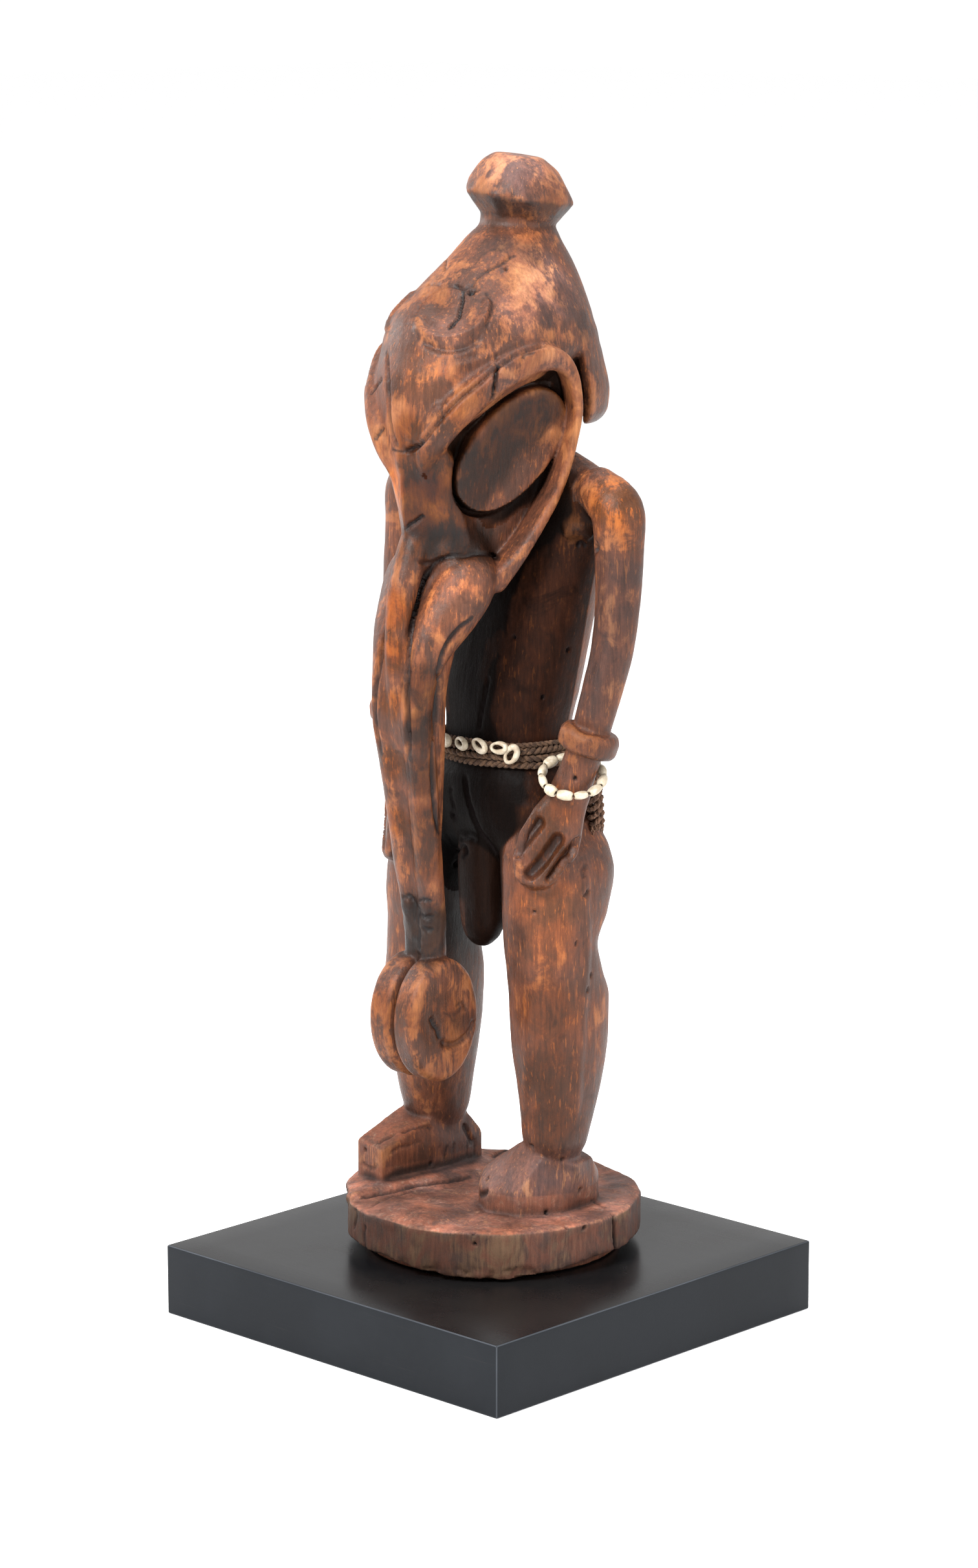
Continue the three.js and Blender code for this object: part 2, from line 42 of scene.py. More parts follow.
# ------------------------------------------------------------------ camera
F_PX, CX, CY = 6708.0, 756.0, 1212.0
AZ, EL = math.radians(43.71), math.radians(11.28)
CAM = np.array([1454.75, -1521.68, 692.19])
FW = np.array([-math.sin(AZ) * math.cos(EL), math.cos(AZ) * math.cos(EL), -math.sin(EL)])
RT = np.array([math.cos(AZ), math.sin(AZ), 0.0])
UP = np.cross(RT, FW)


def sight(u, v):
    return FW + RT * ((u - CX) / F_PX) - UP * ((v - CY) / F_PX)


def on_plane(u, v, axis, value):
    r = sight(u, v)
    return CAM + r * (value - CAM[axis]) / r[axis]


def look(pu, pv, axis=None, value=None):
    return on_plane(pu, pv, axis, value)


# ------------------------------------------------------------------ distance-field carving
def smin(a, b, k):
    if k <= 0:
        return np.minimum(a, b)
    h = np.maximum(k - np.abs(a - b), 0.0) / k
    return np.minimum(a, b) - h * h * k * 0.25


def smax(a, b, k):
    return -smin(-a, -b, k)


def curve(t, ts, vs):
    ts, vs = np.asarray(ts, float), np.asarray(vs, float)
    if vs.ndim == 1:
        vs = vs[:, None]
    h = np.diff(ts)
    d = np.diff(vs, axis=0) / h[:, None]
    m = np.zeros_like(vs)
    m[0], m[-1] = d[0], d[-1]
    for i in range(1, len(ts) - 1):
        a, b = d[i - 1], d[i]
        ok = a * b > 0
        w1, w2 = 2 * h[i] + h[i - 1], h[i] + 2 * h[i - 1]
        m[i] = np.where(ok, (w1 + w2) / (w1 / np.where(ok, a, 1) + w2 / np.where(ok, b, 1)), 0)
    t = np.clip(t, ts[0], ts[-1])
    i = np.clip(np.searchsorted(ts, t, side="right") - 1, 0, len(ts) - 2)
    s = ((t - ts[i]) / h[i])[..., None]
    hh = h[i][..., None]
    return (2 * s**3 - 3 * s**2 + 1) * vs[i] + (s**3 - 2 * s**2 + s) * hh * m[i] + (-2 * s**3 + 3 * s**2) * vs[i + 1] + (s**3 - s**2) * hh * m[i + 1]


def catmull(tt, P):
    n = len(P)
    i = np.clip(np.floor(tt).astype(int), 0, n - 2)
    s = (tt - i)[:, None]
    g = lambda j: P[np.clip(j, 0, n - 1)]
    p0, p1, p2, p3 = g(i - 1), g(i), g(i + 1), g(i + 2)
    return 0.5 * (2 * p1 + (p2 - p0) * s + (2 * p0 - 5 * p1 + 4 * p2 - p3) * s**2 + (3 * p1 - p0 - 3 * p2 + p3) * s**3)


def basis(n, u):
    n = np.array(n, float)
    n /= np.linalg.norm(n)
    u = np.array(u, float)
    u -= n * (u @ n)
    u /= np.linalg.norm(u)
    return np.stack([u, np.cross(n, u), n], 1)


def hull_planes(P):
    P = np.array(P, float)
    c, out, n = P.mean(0), [], len(P)
    for i in range(n):
        for j in range(i + 1, n):
            for k in range(j + 1, n):
                a = np.cross(P[j] - P[i], P[k] - P[i])
                L = np.linalg.norm(a)
                if L < 1e-6:
                    continue
                a /= L
                d = a @ P[i]
                if a @ c > d:
                    a, d = -a, -d
                if (P @ a - d).max() < 1e-4 and not any(np.abs(a - b[:3]).max() < 1e-4 and abs(d - b[3]) < 1e-3 for b in out):
                    out.append(np.array([*a, d]))
    return np.array(out)


class Field:
    def __init__(self, lo, hi, h):
        self.h, self.lo = h, np.array(lo, float)
        n = np.ceil((np.array(hi, float) - self.lo) / h).astype(int) + 1
        self.x, self.y, self.z = ((self.lo[i] + h * np.arange(n[i])).astype(np.float32) for i in range(3))
        self.D = np.full(n, 50.0, np.float32)

    def sl(self, lo, hi):
        s = []
        for ax, l, g in zip((self.x, self.y, self.z), lo, hi):
            a, b = int(np.searchsorted(ax, l)), int(np.searchsorted(ax, g))
            s.append(slice(max(a, 0), max(min(b, len(ax)), 0)))
        return tuple(s)

    def grid(self, s):
        return self.x[s[0]][:, None, None], self.y[s[1]][None, :, None], self.z[s[2]][None, None, :]

    def do(self, sd, k=3.0, op="add"):
        s, d = sd
        if d is None or d.size == 0:
            return
        c = self.D[s]
        self.D[s] = smin(c, d, k) if op == "add" else smax(c, -d if op == "cut" else d, k)

    def local(self, c, ext, pad=8):
        c = np.array(c, float)
        s = self.sl(c - ext - pad, c + ext + pad)
        x, y, z = self.grid(s)
        return s, x - c[0], y - c[1], z - c[2]

    def zloft(self, rows, n=2.0, pad=8, cap=2.0):
        R = np.array(rows, float)
        m = R[:, 3:5].max()
        s = self.sl((R[:, 1].min() - m - pad, R[:, 2].min() - m - pad, R[0, 0] - pad), (R[:, 1].max() + m + pad, R[:, 2].max() + m + pad, R[-1, 0] + pad))
        x, y, z = self.grid(s)
        q = curve(z.ravel(), R[:, 0], R[:, 1:5])
        cx, cy, rx, ry = (q[:, i][None, None, :].astype(np.float32) for i in range(4))
        px, py = np.abs(x - cx), np.abs(y - cy)
        e = ((px / rx) ** n + (py / ry) ** n) ** (1.0 / n) + 1e-6
        L = np.sqrt(px * px + py * py) + 1e-6
        d = np.where(e < 0.3, -np.minimum(rx, ry) * (1 - e), L * (1 - 1 / e))
        d = smax(smax(d, R[0, 0] - z, cap), z - R[-1, 0], cap)
        return s, d.astype(np.float32)

    def ell(self, c, r, M=None, n=2.0):
        M = np.eye(3) if M is None else M
        r = np.array(r, float)
        s, x, y, z = self.local(c, np.abs(M) @ r)
        a = [np.abs(x * M[0, i] + y * M[1, i] + z * M[2, i]) for i in range(3)]
        k0 = ((a[0] / r[0]) ** n + (a[1] / r[1]) ** n + (a[2] / r[2]) ** n) ** (1.0 / n) + 1e-6
        L = np.sqrt(a[0] ** 2 + a[1] ** 2 + a[2] ** 2)
        return s, np.where(k0 < 0.3, -r.min() * (1 - k0), L * (1 - 1 / k0)).astype(np.float32)

    def box(self, c, r, M=None, rd=1.0):
        M = np.eye(3) if M is None else M
        r = np.array(r, float)
        s, x, y, z = self.local(c, np.abs(M) @ r)
        q = [np.abs(x * M[0, i] + y * M[1, i] + z * M[2, i]) - (r[i] - rd) for i in range(3)]
        o = np.sqrt(sum(np.maximum(v, 0) ** 2 for v in q))
        return s, (o + np.minimum(np.maximum(np.maximum(q[0], q[1]), q[2]), 0) - rd).astype(np.float32)

    def disc(self, c, ru, rv, half, M, rd=2.0, n=2.0):
        s, x, y, z = self.local(c, np.abs(M) @ np.array([ru, rv, half]))
        a = [x * M[0, i] + y * M[1, i] + z * M[2, i] for i in range(3)]
        e = ((np.abs(a[0]) / ru) ** n + (np.abs(a[1]) / rv) ** n) ** (1.0 / n) + 1e-6
        L = np.sqrt(a[0] ** 2 + a[1] ** 2)
        d2 = np.where(e < 0.3, -min(ru, rv) * (1 - e), L * (1 - 1 / e))
        q0, q1 = d2 + rd, np.abs(a[2]) - half + rd
        return s, (np.minimum(np.maximum(q0, q1), 0) + np.sqrt(np.maximum(q0, 0) ** 2 + np.maximum(q1, 0) ** 2) - rd).astype(np.float32)

    def tube(self, pts, pad=8, sub=6, up=None, n=2.0):
        P = np.array(pts, float)
        Q = catmull(np.linspace(0, len(P) - 1, (len(P) - 1) * sub + 1), P)
        rmax = Q[:, 3:5].max()
        s = self.sl(Q[:, :3].min(0) - rmax - pad, Q[:, :3].max(0) + rmax + pad)
        best = np.full([q.stop - q.start for q in s], 50.0, np.float32)
        if best.size == 0:
            return s, None
        for a, b in zip(Q[:-1], Q[1:]):
            ab = b[:3] - a[:3]
            l2 = ab @ ab + 1e-12
            m = max(a[3:5].max(), b[3:5].max()) + pad
            ss = self.sl(np.minimum(a[:3], b[:3]) - m, np.maximum(a[:3], b[:3]) + m)
            X, Y, Z = self.grid(ss)
            if X.size * Y.size * Z.size == 0:
                continue
            px, py, pz = X - a[0], Y - a[1], Z - a[2]
            h = np.clip((px * ab[0] + py * ab[1] + pz * ab[2]) / l2, 0, 1)
            dx, dy, dz = px - h * ab[0], py - h * ab[1], pz - h * ab[2]
            rs, ru = a[3] + h * (b[3] - a[3]), a[4] + h * (b[4] - a[4])
            L = np.sqrt(dx * dx + dy * dy + dz * dz) + 1e-6
            if up is None:
                d = L - rs
            else:
                tn = ab / math.sqrt(l2)
                u = np.array(up, float)
                u = u - tn * (u @ tn)
                u /= np.linalg.norm(u)
                du = np.abs(dx * u[0] + dy * u[1] + dz * u[2])
                ds = np.sqrt(np.maximum(L * L - du * du, 0))
                e = ((du / ru) ** n + (ds / rs) ** n) ** (1 / n) + 1e-6
                d = np.where(e < 0.3, -np.minimum(rs, ru) * (1 - e), L * (1 - 1 / e))
            o = tuple(slice(q.start - p.start, q.stop - p.start) for q, p in zip(ss, s))
            best[o] = np.minimum(best[o], d)
        return s, best

    def hull(self, P, rd=1.5, pad=8):
        P = np.array(P, float)
        s = self.sl(P.min(0) - pad, P.max(0) + pad)
        x, y, z = self.grid(s)
        d = None
        for a, b, c, e in hull_planes(P):
            q = x * a + y * b + z * c - e
            d = q if d is None else smax(d, q, rd)
        return s, d.astype(np.float32)

    def prism(self, c, M, poly, half, rd=1.5):
        poly = np.array(poly, float)
        s, x, y, z = self.local(c, np.abs(M) @ np.array([np.abs(poly[:, 0]).max(), np.abs(poly[:, 1]).max(), half]))
        u, v, w = (x * M[0, i] + y * M[1, i] + z * M[2, i] for i in range(3))
        d2, ins = np.full(u.shape, 1e9, np.float32), np.zeros(u.shape, bool)
        for a, b in zip(poly, np.roll(poly, -1, axis=0)):
            e = b - a
            pu, pv = u - a[0], v - a[1]
            t = np.clip((pu * e[0] + pv * e[1]) / (e @ e + 1e-12), 0, 1)
            d2 = np.minimum(d2, (pu - t * e[0]) ** 2 + (pv - t * e[1]) ** 2)
            ey = e[1] if abs(e[1]) > 1e-9 else 1e-9
            ins ^= (((a[1] <= v) & (b[1] > v)) | ((b[1] <= v) & (a[1] > v))) & (u < a[0] + (v - a[1]) / ey * e[0])
        d = np.where(ins, -np.sqrt(d2), np.sqrt(d2))
        q0, q1 = d + rd, np.abs(w) - half + rd
        return s, (np.minimum(np.maximum(q0, q1), 0) + np.sqrt(np.maximum(q0, 0) ** 2 + np.maximum(q1, 0) ** 2) - rd).astype(np.float32)

    def sample(self, A, P):
        """values of grid A at points P, trilinear"""
        q = (np.asarray(P, float) - self.lo) / self.h
        n = np.array(A.shape)
        i = np.clip(np.floor(q).astype(int), 0, n - 2)
        f = np.clip(q - i, 0, 1)
        out = 0
        for a in (0, 1):
            for b in (0, 1):
                for c in (0, 1):
                    w = (f[:, 0] if a else 1 - f[:, 0]) * (f[:, 1] if b else 1 - f[:, 1]) * (f[:, 2] if c else 1 - f[:, 2])
                    out = out + w * A[i[:, 0] + a, i[:, 1] + b, i[:, 2] + c]
        return out

    def hit(self, u, v):
        """the first surface point on the line of sight through a picture point"""
        t = np.arange(1950.0, 2450.0, 0.5)
        P = CAM + sight(u, v) * t[:, None]
        inside = ((P > self.lo) & (P < [self.x[-1], self.y[-1], self.z[-1]])).all(1)
        d = np.where(inside, self.sample(self.D, P), 50.0)
        k = np.nonzero(d < 0)[0]
        if len(k) == 0:
            k = [int(np.argmin(d))]
        return P[k[0]]


def surface(D, lo, h):
    """surface nets: vertices and outward quads of the zero level"""
    S = D < 0
    nx, ny, nz = D.shape
    cnt = sum(S[i:nx - 1 + i, j:ny - 1 + j, k:nz - 1 + k].astype(np.int8) for i in (0, 1) for j in (0, 1) for k in (0, 1))
    act = (cnt > 0) & (cnt < 8)
    ci = np.argwhere(act)
    idx = np.full(act.shape, -1, np.int32)
    idx[act] = np.arange(len(ci))
    i, j, k = ci.T
    acc, num = np.zeros((len(ci), 3)), np.zeros(len(ci))
    cor = [(a, b, d) for a in (0, 1) for b in (0, 1) for d in (0, 1)]
    val = {q: D[i + q[0], j + q[1], k + q[2]] for q in cor}
    for p in cor:
        for ax in range(3):
            if p[ax] == 0:
                q = list(p)
                q[ax] = 1
                a, b = val[p], val[tuple(q)]
                m = (a < 0) != (b < 0)
                t = np.where(m, a / np.where(m, a - b, 1), 0)
                pos = np.tile(np.array(p, float), (len(ci), 1))
                pos[:, ax] += t
                acc[m] += pos[m]
                num[m] += 1
    V = (ci + acc / num[:, None]) * h + np.array(lo)
    quads = []
    for ax in range(3):
        a, b = [slice(None)] * 3, [slice(None)] * 3
        a[ax], b[ax] = slice(0, D.shape[ax] - 1), slice(1, D.shape[ax])
        A, B = S[tuple(a)], S[tuple(b)]
        e = np.argwhere(A != B)
        o1, o2 = (ax + 1) % 3, (ax + 2) % 3
        e = e[(e[:, o1] > 0) & (e[:, o2] > 0) & (e[:, o1] < D.shape[o1] - 1) & (e[:, o2] < D.shape[o2] - 1)]
        ins = A[tuple(e.T)]
        f = []
        for d1, d2 in ((-1, -1), (0, -1), (0, 0), (-1, 0)):
            q = e.copy()
            q[:, o1] += d1
            q[:, o2] += d2
            f.append(idx[tuple(q.T)])
        f = np.stack(f, 1)
        f[~ins] = f[~ins][:, ::-1]
        quads.append(f)
    return V, np.concatenate(quads)


def box_blur(A, n):
    """mean over a cube of 2n+1 cells"""
    for ax in range(3):
        pad = [(0, 0)] * 3
        pad[ax] = (n + 1, n)
        c = np.cumsum(np.pad(A, pad, mode="edge"), axis=ax, dtype=np.float64)
        hi, lo = [slice(None)] * 3, [slice(None)] * 3
        hi[ax], lo[ax] = slice(2 * n + 1, None), slice(0, -(2 * n + 1))
        A = ((c[tuple(hi)] - c[tuple(lo)]) / (2 * n + 1)).astype(np.float32)
    return A


def noise(P, size, seed=0):
    """smooth value noise, -1 to 1, about one change per size"""
    q = np.asarray(P, float) / np.array(size, float)
    i = np.floor(q).astype(np.int64)
    f = q - i
    f = f * f * (3 - 2 * f)
    out = 0
    for a in (0, 1):
        for b in (0, 1):
            for c in (0, 1):
                k = (i[:, 0] + a) * 73856093 ^ (i[:, 1] + b) * 19349663 ^ (i[:, 2] + c) * 83492791 ^ (seed * 2654435761)
                k = (k ^ (k >> 13)) * 1274126177 & 0x7FFFFFFF
                k = (k ^ (k >> 15)) & 0xFFFFF
                w = (f[:, 0] if a else 1 - f[:, 0]) * (f[:, 1] if b else 1 - f[:, 1]) * (f[:, 2] if c else 1 - f[:, 2])
                out = out + w * (k / 0xFFFFF * 2 - 1)
    return out


def fbm(P, size, seed=0, octaves=3):
    s = np.array(size, float) * np.ones(3)
    out, a = 0, 1.0
    for o in range(octaves):
        out = out + a * noise(P, s, seed + o * 17)
        s, a = s / 2.1, a * 0.5
    return out / 1.6


def step(x, a, b):
    t = np.clip((x - a) / (b - a), 0, 1)
    return t * t * (3 - 2 * t)


# ------------------------------------------------------------------ the figure's tables, as in the CAD
def side(P, s):
    P = np.array(P, float)
    if P.ndim == 1:
        P[0] *= s
    else:
        P[:, 0] *= s
    return P


LEG_L = [[62, 37, 5, 9, 9], [88, 39.5, 5.5, 12, 13], [97, 40.5, 5.5, 14.5, 16], [110, 40, 7.5, 16, 19], [128, 39.5, 9.5, 18, 23], [150, 39, 10, 20, 26.5], [168, 38.5, 10, 20.5, 27], [182, 38.5, 7, 20.5, 25], [196, 37.5, 5, 21, 23.5], [212, 36.5, 9, 22, 28], [232, 35, 12.5, 23, 30.5], [243, 32.5, 13, 22.5, 29], [252, 30, 13.5, 20, 26], [266, 26, 14, 18, 24]]
LEG_R = [[62, -52, 15, 9, 9], [86, -52, 15.5, 12.5, 13], [97, -51.5, 15, 15.5, 17], [110, -51, 14, 17, 20], [128, -50, 13, 19, 23], [150, -49, 11.5, 21, 26], [168, -48, 10.5, 21.5, 26.5], [182, -47, 9, 21, 25], [196, -46, 8, 21, 24], [212, -45, 9, 22, 27], [232, -42, 11, 23, 29], [243, -39, 12.5, 23, 28.5], [252, -35, 14, 21, 27], [266, -28, 15, 19, 25]]
FOOT_L = [[5, -10, 60], [8, -16, 60], [22, -24, 60], [40, -20, 60], [50, -2, 60], [50, 26, 60], [42, 36, 60], [24, 34, 60], [8, -16, 72], [22, -24, 72], [40, -20, 73], [50, -2, 74], [50, 26, 75], [42, 36, 75], [24, 34, 78], [5, -10, 79], [28, -7, 96], [46, -10, 91], [54.5, 6, 87], [51, 21, 87], [30, 20, 94]]
FOOT_R = [[-46, -31, 60], [-64, -30, 60], [-70, -6, 60], [-68, 36, 60], [-40, 37, 60], [-38, 8, 60], [-46, -31, 82], [-64, -30, 84], [-70, -6, 86], [-68, 36, 82], [-40, 37, 80], [-38, 8, 80], [-64, 4, 96], [-42, 4, 93], [-42, 26, 93], [-62, 26, 95]]
TORSO = [[236, 0, 18, 34, 24], [248, 0, 16, 43, 30], [262, 0, 14, 45, 31], [276, 0, 13, 40, 29], [288, 0, 13, 33, 26], [300, 0, 14, 32, 26], [320, 0, 16, 36, 27], [345, 0, 19, 41, 26], [370, 0, 22, 46, 25], [392, 0, 24, 52, 23], [408, 0, 24, 60, 22], [420, 0, 23, 62, 21], [430, 0, 21, 52, 18], [438, 0, 20, 34, 16]]
NECK = [[420, 0, 19, 24, 20], [440, 0, 16, 20, 20], [474, 0, 10, 26, 32]]
GENITAL = [[191, -1, -4, 4, 3], [197, 0, -4.5, 9, 7.5], [206, 1, -5, 11.5, 9.5], [225, 1, -6, 12, 10], [250, 1, -7, 11.5, 9]]
ARM = [[56, 18, 422, 11, 11], [69, 17, 413, 13, 13.5], [71, 16.5, 395, 12, 12.5], [72, 14.5, 370, 11, 11.5], [71, 11.5, 345, 10.3, 11], [68.5, 7, 325, 9.7, 10], [66, 4, 311, 9.3, 9.3], [64.5, 2, 302, 9, 9], [61, 0, 290, 9, 9], [57.5, -3, 278, 9.5, 9.5]]
HEAD = [[434, 0, -57, 3, 4], [441, 0, -54, 8, 8.5], [450, 0, -47, 17, 15.5], [460, 0, -37, 27, 26], [470, 0, -25, 35, 37], [481, 0, -9, 42, 51], [491, 0, 1, 45, 57.5], [503, 0, 2.5, 43, 53], [516, 0, 8, 37, 43.5], [529, 0, 13.5, 28.5, 33.5], [541, 0, 17, 21.5, 23], [548, 0, 20, 17.8, 18.2], [556, 0, 21, 18, 18]]
LOOP_N = np.array([0.921, -0.350, -0.171])
LOOP_N /= np.linalg.norm(LOOP_N)
LOOP_U = np.array([-0.352, -0.56, -0.75])
RIM = [[5, -49, 418, 4, 4], [9, -51.5, 431, 5, 5], [13.5, -56, 443.5, 6.5, 5.5], [21, -53.5, 455.5, 7.6, 6], [29.5, -46, 467.5, 7.8, 6], [36.5, -35.5, 477.5, 7.6, 6], [42, -24, 484, 7.2, 6], [46, -11, 487, 6.4, 6], [49.2, -1, 484.4, 4.8, 7], [50.5, 5.6, 475.3, 3.4, 8], [50.2, 8.6, 461.5, 2.8, 8.5], [48.2, 7.4, 446.5, 2.6, 8.5], [45.2, 4.4, 430.3, 2.6, 8.5], [41.2, -0.4, 415.5, 2.8, 8.5], [36, -7.5, 400.5, 3.2, 8], [30.5, -14.5, 388.2, 4.2, 8], [24, -20.5, 379, 6, 8]]
RIM_SINK = [0, 0, 0, 0, 0, 0, 0, -1, -2, -3.5, -4.5, -4.5, -4.5, -4.5, -4, -3.5, -2]
BAR = [[18, -28, 388, 8, 8], [16.5, -33, 379, 14.5, 14.5], [14.5, -41, 367, 14.5, 14.5], [11.5, -51.5, 352, 12, 12], [10.2, -57, 340, 9.5, 9.5], [9.8, -60.5, 325, 8, 8], [9.5, -60.5, 312, 7.8, 7.8], [8.9, -57, 292, 7.6, 7.6], [7.8, -52.7, 260, 7, 7], [7.2, -49.8, 240, 6.8, 6.8], [5.4, -45.6, 213, 6.6, 6.6], [5, -45, 190, 6.5, 6.5]]
RIDGE = [[0, -46, 406, 8, 8], [0, -53.5, 392, 8, 8], [0, -60, 375, 7.2, 7.2], [0, -63.5, 355, 6.2, 6.2], [0, -64.5, 330, 5, 5], [0, -61.5, 300, 3.5, 3.5]]
WEB = [[186, 0, -45, 8, 5], [215, 0, -44.5, 8, 6], [240, 0, -47, 9, 7], [265, 0, -48, 10, 9], [290, 0, -50, 11, 12], [320, 0, -50.5, 12, 13], [345, 0, -45, 13, 13.5], [365, 0, -36, 16, 15], [392, 0, -28, 19, 16]]
NOSE = [[0, -62, 441], [0, -58.8, 404.5], [21, -52.5, 447], [-21, -52.5, 447], [18.5, -48, 424], [-18.5, -48, 424], [16, -42, 407], [-16, -42, 407], [15, -38, 392], [-15, -38, 392], [0, -48, 392], [0, -34, 446], [19, -30, 420], [-19, -30, 420]]
FLATS = np.array([0, 17, 44, 60, 88, 107, 133, 150, 176, 197, 212, 240, 256, 281, 295, 318, 333, 360.0])
SKIRT = [(451, 0, 13, 40, 48), (458, 0, 12, 44, 53), (470, 0, 10, 46.5, 54), (485, 0, 6, 46, 53), (499, 0, 3, 43, 52)]
JAW = [[48.2, 7.4, 446.5], [45.2, 4.4, 430.3], [41.2, -0.4, 415.5], [36, -7.5, 400.5], [30.5, -14.5, 388.2], [24, -20.5, 379], [13, -41, 392], [13, -46, 403], [16, -46, 415], [32.5, -16.5, 442.5]]
CHEEK = [[15.6, -48.5, 436.7], [14.1, -45.5, 424.7], [11.6, -39.5, 407.7], [11.1, -36, 392.7], [17.6, 3, 442.2], [28.1, 3, 416.7], [22.6, -3.5, 402.2], [20.6, -12, 390.2], [8.1, -45.5, 436.7], [6.1, -42.5, 424.7], [4.1, -36.5, 407.7], [4.1, -32.5, 392.7], [10.1, 5.5, 442.7], [20.1, 5.5, 418.7], [15.1, -0.5, 403.7], [13.1, -9.5, 391.7]]
PAD = [[5, -38, 394, 8, 8], [6, -43, 380, 7, 7], [5.5, -50, 364, 6, 6]]
HAND = [[-31, 6], [-24, 9], [-14, 11], [-5, 13.5], [4, 15.5], [8.5, 14.8], [9.5, 13.2], [20, 11.5], [25, 8.5], [28.5, 2], [28.5, -3.5], [26, -8], [18, -12.5], [5, -14.5], [-8, -13], [-20, -9.5], [-31, -7]]
BASE_C = np.array([-3.0, 6.0])


def zl(P, rows, n=2.0):
    """signed distance of points P from a stack of ovals, level by level"""
    R = np.array(rows, float)
    q = curve(P[:, 2], R[:, 0], R[:, 1:5])
    dx, dy = np.abs(P[:, 0] - q[:, 0]), np.abs(P[:, 1] - q[:, 1])
    e = ((dx / q[:, 2]) ** n + (dy / q[:, 3]) ** n) ** (1 / n) + 1e-6
    return np.hypot(dx, dy) * (1 - 1 / e)


def base_bottom(a):
    """height of the round base's worn lower edge, by direction round its centre in degrees"""
    return curve((a + 360) % 360, [0, 40, 90, 140, 190, 230, 262, 285, 300, 316, 335, 347, 360], [44, 42, 41, 42, 43, 44, 43, 40, 38.5, 37.6, 39.5, 42, 44])[..., 0]


